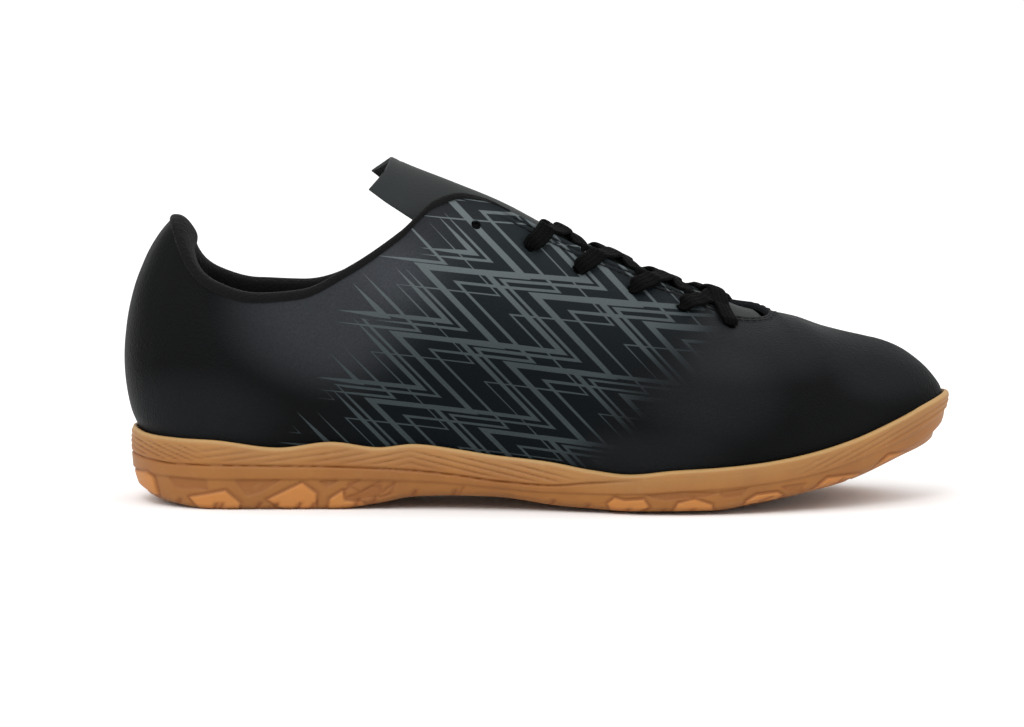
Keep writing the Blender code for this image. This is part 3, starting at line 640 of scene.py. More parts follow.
# Lines of the print in one repeat: how far down and along each one starts, and half its width
PRINT_LINES = (
    (0.00, 0.00, 0.50 * MM),
    (0.09, 0.31, 0.98 * MM),
    (0.18, 0.64, 0.48 * MM),
    (0.95, 0.84, 0.84 * MM),
    (0.42, 0.17, 0.24 * MM),
)


def zigzag_print(finish, x, z, settings):
    """Mask of a generic zigzag print: slanted strokes and near level strokes back, in sharp corners."""
    drop, step = settings.print_drop, settings.print_step
    down, along = np.array([-0.38 * drop, -drop]), np.array([step, -0.26 * step])
    area = float(down[0] * along[1] - down[1] * along[0])
    s = x * float(along[1] / area) - z * float(along[0] / area)
    t = z * float(down[0] / area) - x * float(down[1] / area)
    long_part, reach = 0.79, 0.85
    slant = long_part * down + reach * along
    level = (1 - long_part) * down - reach * along
    slant_gap = abs(area) * long_part / float(np.linalg.norm(slant))
    level_gap = abs(area) * (1 - long_part) / float(np.linalg.norm(level))
    rise, fall = reach / long_part, reach / (1 - long_part)
    wander = finish.noise(0.030, 1.0) - 0.5
    spread = z.ramp(0.030, 0.085) * 0.22 + 0.80
    left = x - (z - 0.0247) * 0.585 + 0.0817
    right = (z - 0.0396) * 0.95 + 0.036 - x
    mask = None
    for late, aside, half in PRINT_LINES:
        turns = s - late
        phase = turns.fraction()
        middle = (phase * rise).least((1 - phase) * fall)
        lane = t - middle + (0.5 - aside)
        off = lane.fraction()
        here = middle + off - 0.5
        away = ((here - phase * rise) * slant_gap).most((here - (1 - phase) * fall) * level_gap)
        away = away.least((here + phase * fall) * level_gap).least((here + (1 - phase) * rise) * slant_gap)
        spike = finish.node("ShaderNodeTexWhiteNoise", {"noise_dimensions": "1D"},
                            {"W": (lane - off) * 3.1 + (turns - phase) * 7.3 + 5 * aside})
        ends = (left + spike * 0.018).ramp(0.0, 0.022)
        width = ends * (spread * half + wander * (0.5 * MM))
        line = (width - away.absolute()).ramp(-0.12 * MM, 0.12 * MM) * ends.ramp(0.02, 0.12)
        mask = line if mask is None else mask.most(line)
    fade = (right + wander * 0.02).ramp(-0.008, 0.022)
    return mask * fade, left.ramp(-0.004, 0.030) * fade


# Painted soft highlights on the leather, where the lights above and in front would give a sheen: length and
# height of the middle, its reach along and up, and its strength
PAINTED_SHEEN_SPOTS = (
    (-0.066, 0.070, 0.050, 0.034, 0.66),
    (-0.028, 0.090, 0.046, 0.026, 0.50),
    (0.078, 0.060, 0.045, 0.018, 0.22),
    (0.060, 0.040, 0.030, 0.020, 0.14),
    (0.122, 0.048, 0.024, 0.014, 0.16),
    (-0.122, 0.032, 0.040, 0.020, 0.14),
    (0.032, 0.020, 0.040, 0.012, 0.12),
)


def upper_leather(settings):
    """Black grained leather with painted soft highlights and the zigzag print."""
    finish = Finish("upper_leather", Specular_IOR_Level=0.05)
    x, _, z = finish.parts(finish.place())
    x = x - float(STAND[0])
    mask, field = zigzag_print(finish, x, z, settings)
    cloud = finish.noise(0.035, 2.0)
    fine = finish.noise(0.0006, 2.0)
    # Random cloudy tone of the leather, with the painted soft highlights added to it
    tone = cloud * 0.10 - 0.03
    for along, up, wide, high, strength in PAINTED_SHEEN_SPOTS:
        near_x, near_z = (x - along) / wide, (z - up) / high
        tone = tone + (near_x * near_x + near_z * near_z).ramp(1.0, 0.0) * strength
    # Between the dark and the lighter colour, by the random tone and the painted highlights
    tone_and_painted_sheen = (tone * (0.6 + fine * 0.8)).most(0.0)
    black = finish.blend(tone_and_painted_sheen, settings.leather_dark_and_seam_shade, settings.leather_light_and_sheen)
    high = z.ramp(0.045, 0.105)
    ground = finish.blend(high, settings.print_ground, settings.print_ground_high)
    line = finish.blend(high, settings.print_line, settings.print_line_high)
    inked = finish.blend(mask * (0.80 + cloud * 0.4), finish.blend(field, black, ground), line)
    # Darker along the two sunk stitch lines: painted shade in the seam grooves
    finish.colour(finish.blend(finish.attribute("seam") * 0.80, inked, settings.leather_dark_and_seam_shade))
    grain = finish.cells(0.00085, "F1")
    pores = finish.cells(0.0023, "SMOOTH_F1")
    finish.rough(0.44 + cloud * 0.10 - mask * 0.05 + fine * 0.06)
    finish.bump((grain, 0.00016), (pores, 0.00010), (fine, 0.00008), (mask, 0.00002))
    return finish.material


def tongue_leather(settings):
    """Dark grey leather of the tongue, with a fine grain."""
    finish = Finish("tongue_leather", Specular_IOR_Level=0.15)
    cloud = finish.noise(0.030, 2.0)
    fine = finish.noise(0.0006, 2.0)
    darker = tuple(0.75 * c for c in settings.tongue_tone)
    finish.colour(finish.blend(cloud * 0.6 + fine * 0.4, darker, settings.tongue_tone))
    grain = finish.cells(0.00085, "F1")
    finish.rough(0.48 + cloud * 0.10 + fine * 0.05)
    finish.bump((grain, 0.00008), (fine, 0.00005))
    return finish.material


def knit_textile(name, tone, loop=0.0011):
    """Brushed knit: small loops with fuzz over them."""
    finish = Finish(name, Roughness=0.95, Specular_IOR_Level=0.08, Sheen_Weight=0.04, Sheen_Roughness=0.5)
    loops = finish.cells(loop, "SMOOTH_F1")
    fuzz = finish.noise(0.0005, 3.0)
    cloud = finish.noise(0.02, 2.0)
    dark = tuple(0.55 * c for c in tone)
    finish.colour(finish.blend(loops * 0.6 + fuzz * 0.4 + cloud * 0.2 - 0.1, tone, dark))
    finish.bump((loops, 0.00035), (fuzz, 0.00015))
    return finish.material


def gum_rubber(settings):
    """Gum rubber: darker in the grooves by painted shade, brighter on the lugs by a painted highlight, and
    pale along the rim by a painted glow of light through the thin gum.
    """
    finish = Finish("gum_rubber", Specular_IOR_Level=0.38, Subsurface_Weight=0.10, Subsurface_Scale=0.004)
    hollow = finish.attribute("hollow")
    rim_glow = finish.attribute("rim_glow")
    proud = finish.attribute("proud")
    cloud = finish.noise(0.018, 3.0)
    dust = finish.noise(0.0035, 4.0)
    base = finish.blend(cloud.ramp(0.25, 0.75), settings.gum_dark, settings.gum_light)
    # Painted highlight on the raised lugs and the tread
    raised = finish.blend(proud * 0.65, base, settings.gum_lug_highlight)
    # Painted shade in the grooves, panels, notches and along the step
    shaded = finish.blend((hollow * 0.85).least(1.0), raised, settings.gum_groove_shade)
    # Pale dust specks, in the colour of the rim's painted glow
    dusted = finish.blend(dust.ramp(0.58, 0.78) * 0.12, shaded, settings.gum_dust_and_rim_glow)
    # Pale along the rim: painted glow of light through the thin gum
    finish.colour(finish.blend(rim_glow * 0.85, dusted, settings.gum_dust_and_rim_glow))
    finish.rough(0.50 + cloud * 0.12 + hollow * 0.10)
    finish.bump((finish.noise(0.0009, 3.0), 0.00006), (dust, 0.00008))
    return finish.material


def lace_braid(settings):
    """Black braid with ribs along the lace and strands across them."""
    finish = Finish("lace_braid", Roughness=0.90, Specular_IOR_Level=0.05)
    across = finish.attribute("across")
    along = finish.attribute("along")
    ribs = (across * 4.0).fraction()
    rib = 1 - (ribs * 2.0 - 1.0).absolute()
    plait = (along / 0.0016 + rib * 0.5).fraction()
    strand = 1 - (plait * 2.0 - 1.0).absolute()
    fuzz = finish.noise(0.0004, 3.0)
    height = rib.ramp(0.0, 0.6) * 0.7 + strand * 0.3
    # Darker between the ribs and strands of the braid: painted shade
    finish.colour(finish.blend(height * 0.7 + fuzz * 0.3, settings.lace_painted_shade, settings.lace_tone))
    finish.bump((height, 0.00060), (fuzz, 0.00010))
    return finish.material


def stitch_thread(tone):
    """Black twisted thread."""
    finish = Finish("stitch_thread", Specular_IOR_Level=0.15)
    twist = finish.noise(0.0004, 2.0)
    finish.colour(finish.blend(twist, tone, tuple(1.8 * c for c in tone)))
    finish.rough(0.6 + twist * 0.2)
    finish.bump((twist, 0.0001))
    return finish.material


# The two rows of stitches along the throat, by their distance from its edge
SEAM_ROWS = (1.7 * MM, 3.9 * MM)
SEAM_WIDTH = 0.55 * MM
SEAM_DEPTH = 0.20 * MM
FOLD_HEIGHT = 0.28 * MM
# Small forms of the leather: the dimple round an eyelet, its uneven surface, and how far it is
# drawn in where it meets the rim of the sole
DIMPLE_DEPTH = 0.35 * MM
DIMPLE_REACH = 3.2 * MM
SWAY_HEIGHT = 0.10 * MM
RIM_PULL_IN = 0.35 * MM
# The pin that punches an eyelet: its ends, inwards and outwards in walls, and its radius
PIN_ENDS = (-2.4, 1.4)
PIN_RADIUS = 0.86 * EYELET_RADIUS
# Soft creases over the ball of the foot: share of the length and height up the wall at both ends,
# depth and width. A minus depth is a ridge.
CREASES = (
    # from          to              depth      width
    (0.640, 0.95, 0.605, 0.45, 0.35 * MM, 4.0 * MM),
    (0.668, 0.93, 0.650, 0.42, -0.22 * MM, 4.5 * MM),
    (0.700, 0.90, 0.690, 0.40, 0.38 * MM, 4.5 * MM),
    (0.735, 0.88, 0.735, 0.45, -0.20 * MM, 5.0 * MM),
    (0.770, 0.86, 0.775, 0.50, 0.25 * MM, 5.0 * MM),
    (0.395, 0.75, 0.340, 0.45, 0.30 * MM, 7.0 * MM),
    (0.130, 0.80, 0.230, 0.62, 0.30 * MM, 8.0 * MM),
    (0.060, 0.50, 0.120, 0.40, 0.25 * MM, 9.0 * MM),
)


def distance_to_path(points, path):
    """Shortest distance from each point of a plane to a run of straight lines."""
    best = np.full(len(points), 1e9)
    for a, b in zip(path[:-1], path[1:]):
        a, b = np.array(a), np.array(b)
        along = b - a
        t = np.clip(((points - a) @ along) / max(along @ along, 1e-12), 0, 1)
        best = np.minimum(best, np.linalg.norm(points - a - t[:, None] * along, axis=1))
    return best


def inside_path(points, path):
    """True for each point of a plane that lies inside a closed path."""
    found = np.zeros(len(points), bool)
    for (ax, ay), (bx, by) in zip(path, path[1:] + path[:1]):
        crosses = (ay > points[:, 1]) != (by > points[:, 1])
        reach = ax + (points[:, 1] - ay) * (bx - ax) / np.where(by == ay, 1e-9, by - ay)
        found ^= crosses & (points[:, 0] < reach)
    return found


def beside_throat(share):
    """1 along the throat and 0 along the collar and the toe."""
    return smooth(share, COLLAR_FRONT - 0.03, COLLAR_FRONT + 0.02) * (share < THROAT_FRONT + 0.01)


def throat_seams(share, from_top):
    """The two sunk lines along the throat, where the stitches pull the leather in."""
    return beside_throat(share) * sum(np.exp(-((from_top - row) / SEAM_WIDTH) ** 2) for row in SEAM_ROWS)


def upper_relief(u, v, place, from_top, settings):
    """How far the outside of the upper stands proud of its smooth shell."""
    side, turn = side_of(u)
    share = share_of(turn)
    flat = np.stack([place[:, 0], v * 0.1], -1)
    relief = np.zeros(len(v))
    for share_a, v_a, share_b, v_b, depth, width in CREASES:
        path = [(length_x(share_a), v_a * 0.1), (length_x(share_b), v_b * 0.1)]
        near = distance_to_path(flat, path)
        relief -= settings.crease_depth * depth * np.exp(-(near / width) ** 2)
    relief += FOLD_HEIGHT * beside_throat(share) * smooth(from_top, 5.6 * MM, 4.6 * MM)
    relief -= SEAM_DEPTH * throat_seams(share, from_top)
    sway = np.sin(place[:, 0] * 140 + v * 9) * np.sin(v * 11 + place[:, 0] * 60 + side)
    relief += SWAY_HEIGHT * sway * smooth(v, 0.2, 0.4)
    return relief - RIM_PULL_IN * smooth(v, 0.22, 0.155)


def eyelet_places():
    """Place, outward direction and side of each eyelet, row by row."""
    found = []
    for side in (-1, 1):
        for row, share in enumerate(EYELETS):
            u, v = spot_below_top(side, share, EYELET_INSET)
            found.append((side, row, upper_point(u, v), upper_normal(u, v)))
    return found


def upper_levels():
    """Levels of the upper's rows from foot to top, closer together near the top."""
    rim_part = np.array([0.0, 0.05, 0.10, 0.13])
    wall = np.concatenate([np.linspace(0, 0.88, 66)[:-1], np.linspace(0.88, 1, 26)])
    return np.concatenate([rim_part, RIM_SHARE + (1 - RIM_SHARE) * wall])


def build_upper(settings):
    """Hollow shell with its wall, turned edge, creases and eyelets."""
    closed = float(turn_of(THROAT_FRONT))
    us = around_shoe(250, [closed])
    levels = upper_levels()
    grid_u, grid_v = np.meshgrid(us, levels, indexing="ij")
    outer = upper_point(grid_u, grid_v)
    normal = upper_normal(grid_u, grid_v)
    steps = np.linalg.norm(np.diff(outer, axis=1), axis=2)
    from_top = np.concatenate([steps[:, ::-1].cumsum(1)[:, ::-1], np.zeros((len(us), 1))], 1)
    flat = outer.reshape(-1, 3)
    relief = upper_relief(grid_u.ravel(), grid_v.ravel(), flat, from_top.ravel(), settings)
    for _, _, middle, _ in eyelet_places():
        near = np.linalg.norm(flat - middle, axis=1)
        relief -= DIMPLE_DEPTH * np.exp(-(near / DIMPLE_REACH) ** 2)
    outer = outer + relief.reshape(grid_u.shape)[..., None] * normal
    share = share_of(side_of(grid_u)[1])
    # Mask of the painted shade along the sunk stitch lines
    seam = throat_seams(share, from_top).ravel()
    inner_levels = np.concatenate([[0.0, 0.10], np.linspace(RIM_SHARE, 1.0, 26)])
    inner_u, inner_v = np.meshgrid(us, inner_levels, indexing="ij")
    inner = upper_point(inner_u, inner_v) - WALL * upper_normal(inner_u, inner_v)
    open_top = np.abs(us) < closed - 1e-9
    edge = (outer[:, -1] + inner[:, -1]) / 2
    section = upper_section(us)
    edge = edge + 0.45 * MM * section[4]
    for sheet in (outer, inner):
        join_sides(us, sheet, (-1,), ~open_top)
    count, rows, inside = len(us), len(levels), len(inner_levels)
    points = np.concatenate([outer.reshape(-1, 3), inner.reshape(-1, 3), edge])
    outer_faces = ring_faces(count, rows, close_rows=True, close_around=False)
    inner_faces = ring_faces(count, inside, close_rows=True, close_around=False) + count * rows
    faces = outer_faces.tolist() + inner_faces[:, ::-1].tolist()
    first = inner_faces[:, 0] - count * rows
    turned_in = (first % inside >= inside - 3) & (share[first // inside, 0] > COLLAR_FRONT + 0.02)
    slots = [0] * len(outer_faces) + np.where(turned_in, 0, 1).tolist()
    start_in, start_edge = count * rows, count * (rows + inside)
    for i in range(count):
        n = (i + 1) % count
        low_out = [i * rows, n * rows]
        low_in = [start_in + i * inside, start_in + n * inside]
        faces.append([low_out[0], low_in[0], low_in[1], low_out[1]])
        slots.append(1)
        if open_top[i] or open_top[n]:
            top_out = [i * rows + rows - 1, n * rows + rows - 1]
            top_in = [low_in[0] + inside - 1, low_in[1] + inside - 1]
            mid = [start_edge + i, start_edge + n]
            if not open_top[i]:
                mid[0] = top_out[0]
                faces.append([top_out[0], top_out[1], mid[1]])
                faces.append([top_out[0], mid[1], top_in[1], top_in[0]])
            elif not open_top[n]:
                faces.append([top_out[0], top_out[1], mid[0]])
                faces.append([mid[0], top_out[1], top_in[1], top_in[0]])
            else:
                faces.append([top_out[0], top_out[1], mid[1], mid[0]])
                faces.append([mid[0], mid[1], top_in[1], top_in[0]])
            slots += [0, 0]
    leather = upper_leather(settings)
    materials = [leather, knit_textile("inner_textile", settings.textile_tone)]
    painted_seam_shade = np.concatenate([seam, np.zeros(len(points) - len(seam))])
    piece = make_piece("upper_shell", points, faces, materials, slots, attributes={"seam": painted_seam_shade})
    soften_ridge(piece)
    punch_eyelets(piece)
    return place_piece(piece, "coated_synthetic", "upper")


def soften_ridge(piece):
    """Evens out the middle line of the toe, where the two sides meet."""
    group = piece.vertex_groups.new(name="ridge")
    for vertex in piece.data.vertices:
        x, y, z = np.array(vertex.co) - STAND
        near = float(smooth(abs(y - BALL_WIDTH * 0.03), 0.022, 0.008))
        front = float(smooth(x, length_x(0.787), length_x(0.83)))
        high = float(smooth(z, 0.035, 0.045))
        if near * front * high > 0.01:
            group.add([vertex.index], near * front * high, "REPLACE")
    modifier = piece.modifiers.new("ridge", "SMOOTH")
    modifier.factor = 0.6
    modifier.iterations = 12
    modifier.vertex_group = "ridge"
    apply_modifiers(piece)


def punch_eyelets(piece):
    """Cuts the plain round holes of the lace, each a pin through the wall."""
    sides = 20
    bodies = []
    for _, _, middle, normal in eyelet_places():
        axis = Vector(normal)
        across = axis.orthogonal().normalized()
        other = axis.cross(across)
        loops = []
        for end in PIN_ENDS:
            ring = []
            for k in range(sides):
                angle = 2 * math.pi * k / sides
                reach = PIN_RADIUS * (math.cos(angle) * across + math.sin(angle) * other)
                ring.append(np.array(Vector(middle) + end * WALL * axis + reach))
            loops.append(ring)
        bodies.append(swept(loops))
    points, faces = joined(bodies)
    pins = make_piece("eyelet_pins", points, faces, [piece.data.materials[0]])
    modifier = piece.modifiers.new("eyelets", "BOOLEAN")
    modifier.operation = "DIFFERENCE"
    modifier.solver = "EXACT"
    modifier.object = pins
    apply_modifiers(piece)
    bpy.data.objects.remove(pins)


RIB_DEPTH = 0.65 * MM
LUG_HEIGHT = 0.55 * MM
CUT_DEPTH = 0.45 * MM
PANEL_DEPTH = 0.60 * MM
NOTCH_DEPTH = 1.1 * MM
# Relief on the side of the sole, measured on its outer side as length from the middle and height
# above the floor, in millimetres: raised lugs, sunk panels and the thin grooves round them.
LUGS = (
    ((-121.8, 4.3), (-108.8, 6.9), (-103.6, 2.5), (-104.6, -1.0), (-116.9, -1.0)),
    ((-94.6, 3.6), (-82.1, 9.7), (-77.0, 5.8), (-77.7, -1.0), (-87.0, -1.0)),
    ((-73.5, -1.0), (-72.8, 3.8), (-68.0, 6.9), (-67.4, 3.4), (-61.0, 2.6), (-60.0, 1.0)),
    ((23.5, 3.8), (26.2, 6.1), (29.5, 5.2), (36.2, 5.9), (38.2, 3.1), (33.0, 0.5), (25.0, 0.8)),
    ((45.8, 0.8), (47.9, 4.5), (53.6, 6.0), (59.8, 3.9), (60.5, 0.8)),
    ((69.5, 1.2), (71.5, 4.8), (75.2, 7.0), (82.4, 7.7), (84.5, 6.6), (81.0, 3.6), (75.0, 2.2)),
    ((93.9, 3.4), (94.6, 7.6), (100.0, 11.9), (111.8, 12.5), (114.5, 10.6), (106.0, 8.2), (99.0, 4.6)),
    ((115.6, 11.0), (117.2, 14.4), (122.0, 18.2), (129.0, 18.6), (131.5, 17.2), (124.0, 13.4)),
    ((-136.6, 11.8), (-134.2, 9.9), (-133.5, 7.1), (-132.5, 3.6), (-139.0, 3.6), (-142.0, 11.0)),
)
PANELS = (
    ((-129.2, 11.2), (-115.5, 10.8), (-115.1, 7.1), (-126.4, 7.3)),
    ((-105.6, 10.7), (-89.5, 10.7), (-96.8, 6.1), (-101.1, 4.8)),
    ((-76.5, 10.3), (-69.4, 10.3), (-73.6, 8.0)),
    ((-67.0, 4.6), (-62.0, 6.3), (-57.4, 8.6), (-55.4, 8.4), (-55.4, 4.6), (-62.4, 3.4)),
    ((36.5, 7.3), (48.7, 8.6), (62.1, 8.2), (57.1, 6.6), (43.1, 5.6)),
    ((62.0, 8.4), (72.0, 9.6), (70.0, 6.8), (64.0, 6.2)),
    ((84.0, 9.6), (92.5, 10.6), (91.0, 7.8), (86.5, 7.4)),
)
LINES = (
    ((-67.7, 6.7), (-62.4, 10.4), (-66.3, 8.8), (-62.0, 6.3), (-55.4, 9.9), (-54.6, 6.0), (-50.1, 9.6)),
    ((-55.2, 4.4), (-51.5, 5.6), (-50.3, 9.0)),
    ((-26.0, 8.4), (-27.9, 5.6)),
    ((101.0, 8.6), (106.5, 10.6), (112.0, 10.9)),
    ((76.0, 4.6), (80.5, 6.1)),
    ((123.5, 15.6), (127.5, 17.0)),
)
NOTCHES = (-126, -113, -111, -98, -92, -84, -79, -64, -58, -44, -30, 4, 16, 30, 42, 52, 63, 76, 90, 104)


def rib_height(x, z):
    """Ribs of the upper band: down towards the heel and the toe, and up along the middle."""
    heel = smooth(x, -0.112, -0.124)
    front = smooth(x, -0.050, -0.040)
    toe = smooth(x, 0.085, 0.100)
    heel_phase = (z + 0.36 * x) / (1.75 * MM)
    middle_phase = (z - (0.13 + 0.9 * np.maximum(x + 0.075, 0)) * (x + 0.110)) / (2.15 * MM)
    front_phase = (z + 0.235 * x) / (2.1 * MM)
    toe_phase = (z - 0.48 * x) / (2.0 * MM)

    def rib(phase, sharp):
        wave = 0.5 + 0.5 * np.cos(2 * math.pi * phase)
        return wave ** sharp

    middle = (1 - heel) * (1 - front)
    plain = smooth(x, 0.020, 0.000)
    ribs = -heel * rib(heel_phase, 3.0) - 0.75 * middle * rib(middle_phase, 4.0)
    ribs = ribs - 0.8 * front * plain * rib(front_phase, 4.0) - 0.55 * toe * rib(toe_phase, 3.0)
    return ribs


def side_relief(place, share, height, depth_below_rim):
    """Relief of the sole's side, with masks of the painted shade on what is sunk and the painted highlight
    on what is proud.
    """
    x, z = place[:, 0], height
    flat = np.stack([x, z], -1) / MM
    step, groove_line = side_step(share), side_groove(share)
    band = smooth(z, groove_line + 0.8 * MM, groove_line + 2.0 * MM)
    toe_band = smooth(z, step + 0.5 * MM, step + 1.6 * MM)
    fade = smooth(depth_below_rim, 1.2 * MM, 3.0 * MM)
    ribs = rib_height(x, z) * np.where(x > 0.085, toe_band, band) * fade
    relief = RIB_DEPTH * ribs
    # Painted shade between the ribs, and below in the grooves, panels, notches and along the step
    hollow = 0.85 * np.clip(-ribs, 0, 1)
    # Painted highlight on the raised lugs
    proud = np.zeros(len(x))
    below = smooth(z, step + 1.0 * MM, step - 0.2 * MM)
    for path in LUGS:
        edge = distance_to_path(flat, path + path[:1])
        signed = np.where(inside_path(flat, path), edge, -edge)
        lug = smooth(signed, -0.15, 0.55)
        relief += LUG_HEIGHT * lug
        groove = np.exp(-((signed + 0.35) / 0.42) ** 2)
        relief -= CUT_DEPTH * groove
        hollow = np.maximum(hollow, 0.95 * groove)
        proud = np.maximum(proud, lug)
    for path in PANELS:
        edge = distance_to_path(flat, path + path[:1])
        signed = np.where(inside_path(flat, path), edge, -edge)
        sunk = smooth(signed, -0.25, 0.25)
        relief -= PANEL_DEPTH * sunk
        hollow = np.maximum(hollow, 0.42 * sunk + 0.3 * np.exp(-(signed / 0.35) ** 2))
    for path in LINES:
        groove = np.exp(-(distance_to_path(flat, path) / 0.42) ** 2)
        relief -= CUT_DEPTH * groove
        hollow = np.maximum(hollow, 0.9 * groove)
    for at in NOTCHES:
        lean = at + 0.5 * (z - underside(share)) / MM
        notch = np.exp(-((x / MM - lean) / 0.9) ** 2) * smooth(z - underside(share), 3.2 * MM, 1.8 * MM)
        relief -= NOTCH_DEPTH * notch
        hollow = np.maximum(hollow, 0.8 * notch)
    line = np.exp(-((z - groove_line) / (0.45 * MM)) ** 2)
    line = line * smooth(share, GROOVE_END, GROOVE_END - GROOVE_FADE)
    hollow = np.maximum(hollow, 0.75 * line)
    ledge = np.exp(-((z - step) / (0.5 * MM)) ** 2) * (share < 0.86)
    hollow = np.maximum(hollow, 0.35 * ledge * below)
    return relief, np.clip(hollow, 0, 1), np.clip(proud * below, 0, 1)


def side_inset(share, height):
    """How far the smooth side of the sole stands in from its outline at a height."""
    edge = underside(share) + edge_rise(share)
    groove = side_groove(share)
    step = side_step(share)
    depth = GROOVE_DEPTH * np.clip((GROOVE_END - share) / GROOVE_FADE, 0, 1)
    top = rim(share)
    heights = np.stack([
        edge, edge + EDGE_HEIGHT * 0.35, edge + EDGE_HEIGHT, edge + 0.5 * (step - edge),
        step - STEP_DEPTH / 2, step + STEP_DEPTH / 2,
        groove - GROOVE_WIDTH / 2, groove, groove + GROOVE_WIDTH / 2,
        groove + 0.45 * (top - groove), groove + 0.80 * (top - groove), top,
    ])
    zero = np.zeros(len(share))
    insets = np.stack([
        EDGE_INSET + zero, 0.80 * EDGE_INSET + zero, 0.52 * EDGE_INSET + zero,
        SIDE_LEAN + STEP_DEPTH + zero,
        0.6 * SIDE_LEAN + STEP_DEPTH + zero, 0.6 * SIDE_LEAN + zero,
        0.2 * SIDE_LEAN + zero, 0.1 * SIDE_LEAN + depth, 0.1 * SIDE_LEAN + zero,
        zero, 0.2 * RIM_TOP_INSET + zero, RIM_TOP_INSET + zero,
    ])
    order = np.maximum.accumulate(heights, axis=0)
    height = np.maximum(height, order[0])
    found = np.zeros(len(share))
    for k in range(len(order) - 1):
        low, high = order[k], order[k + 1]
        t = np.clip((height - low) / np.maximum(high - low, 1e-9), 0, 1)
        found = np.where(height >= low, insets[k] + (insets[k + 1] - insets[k]) * t, found)
    return found


def tread_depth(x, y):
    """Depth of the zigzag grooves under the sole."""
    legs, reach = 6, 0.6 * BALL_WIDTH
    leg = (y / reach + 1) * legs / 2
    zig = np.abs((leg % 2) - 1) * 2 - 1
    depth = np.zeros(len(x))
    for at in HEEL_GROOVES + FOREFOOT_GROOVES:
        centre = sole_x(at) - 0.5 * TREAD_ZIGZAG * zig
        near = np.abs(x - centre)
        depth = np.maximum(depth, smooth(near, TREAD_WIDTH * 0.62, TREAD_WIDTH * 0.38))
    return depth


def build_outsole(settings):
    """Cup sole: rim, ribbed band, step and lugs at its side, grooves underneath."""
    us = around_shoe(500)
    count = len(us)
    share = share_of(side_of(us)[1])
    loops, groove_shades, rim_glows, lug_highlights = [], [], [], []

    # Each ring carries its masks of painted shade in the grooves, painted glow along the rim and painted
    # highlight on the lugs
    def add(points, hollow=0.0, rim_glow=0.0, proud=0.0):
        loops.append(points)
        for store, value in ((groove_shades, hollow), (rim_glows, rim_glow), (lug_highlights, proud)):
            store.append(np.broadcast_to(value, count).astype(float))

    def centre(height_of):
        first, final = CENTRE_IN
        at = first + (1 - first - final) * share
        return vectors(sole_x(at), BALL_WIDTH * outline_middle(at), height_of(at))

    wall_foot = upper_point(us, np.zeros(count)) + CLEARANCE * outward(us)
    wall_foot[:, 2] -= CLEARANCE
    middle = centre(cup_floor)
    for part in (0.0, 0.4, 0.8):
        point = middle + part * (wall_foot - middle)
        point[:, 2] = cup_floor(sole_share(point[:, 0]))
        add(point)
    add(wall_foot)
    add(off_upper(us, np.full(count, RIM_SHARE / 2), CLEARANCE))
    inner_rim = off_upper(us, np.full(count, RIM_SHARE * 0.96), CLEARANCE * 0.6)
    inner_rim[:, 2] = rim(share) - 0.5 * MM
    # Painted shade and painted glow on the inside of the rim
    add(inner_rim, 0.3, 0.6)
    rim_top = off_upper(us, np.full(count, RIM_SHARE), CLEARANCE)
    rim_top[:, 2] = rim(share)
    outer_top = outline_inset(us, RIM_TOP_INSET, rim(share))
    # Full painted glow along the top of the rim
    add(rim_top + 0.25 * (outer_top - rim_top) + np.array([0, 0, 0.1 * MM]), 0.0, 1.0)
    edge_height = underside(share) + edge_rise(share)
    rows = 48
    parts = np.linspace(0.0, 1.0, rows)
    for part in parts:
        height = rim(share) - part * (rim(share) - edge_height)
        below_rim = rim(share) - height
        inset = side_inset(share, height)
        base = outline_inset(us, inset, height)
        relief, hollow, proud = side_relief(base, share, height, below_rim)
        keep = smooth(part, 0.0, 0.06) if part < 0.06 else 1.0
        relief = relief * keep * smooth(part, 1.02, 0.93)
        # Painted glow of light through the thin gum at the top of the rim, with a faint one fading out 10
        # mm below it
        thin_rim_glow = smooth(below_rim, 1.8 * MM, 0.3 * MM)
        rim_glow = np.maximum(thin_rim_glow, 0.30 * smooth(below_rim, 10 * MM, 1 * MM))
        add(base + relief[:, None] * outward(us), hollow * keep, rim_glow, proud)
    edge = loops[-1]
    under = centre(underside)
    for part in np.linspace(0, 1, 26)[1:]:
        point = edge + part ** 0.9 * (under - edge)
        at = sole_share(point[:, 0])
        low = underside(at) + edge_rise(share) * max(1 - 4 * part, 0.0)
        groove = tread_depth(point[:, 0], point[:, 1]) * float(smooth(part, 0.02, 0.10))
        point[:, 2] = low + TREAD_DEPTH * groove
        # Painted shade in the tread grooves and a painted highlight between them
        add(point, 0.55 * groove, 0.0, 0.3 * (1 - groove))
    loops = np.stack(loops, 1)
    rows_all = loops.shape[1]
    faces = ring_faces(count, rows_all, close_rows=True, close_around=False)
    join_sides(us, loops, (0, rows_all - 1))
    masks = {"hollow": groove_shades, "rim_glow": rim_glows, "proud": lug_highlights}
    attributes = {key: np.stack(values, 1).ravel() for key, values in masks.items()}
    piece = make_piece("gum_sole", loops.reshape(-1, 3), faces.tolist(), [gum_rubber(settings)], sharp=75,
                       attributes=attributes)
    return place_piece(piece, "gum_rubber", "outsole")


def soft_corner(a, b, c, d, t):
    """A point between b and c of a smooth curve through a, b, c and d."""
    bend, twist = 2 * a - 5 * b + 4 * c - d, 3 * b - a - 3 * c + d
    return 0.5 * (2 * b + (c - a) * t + bend * t ** 2 + twist * t ** 3)


def rounded_loop(control, count):
    """A smooth closed loop through control points, for every station at once."""
    n = control.shape[1]
    made = []
    for k in range(n):
        a, b, c, d = [control[:, (k + j) % n] for j in (-1, 0, 1, 2)]
        for part in np.linspace(0, 1, count, endpoint=False):
            made.append(soft_corner(a, b, c, d, part))
    return np.stack(made, 1)


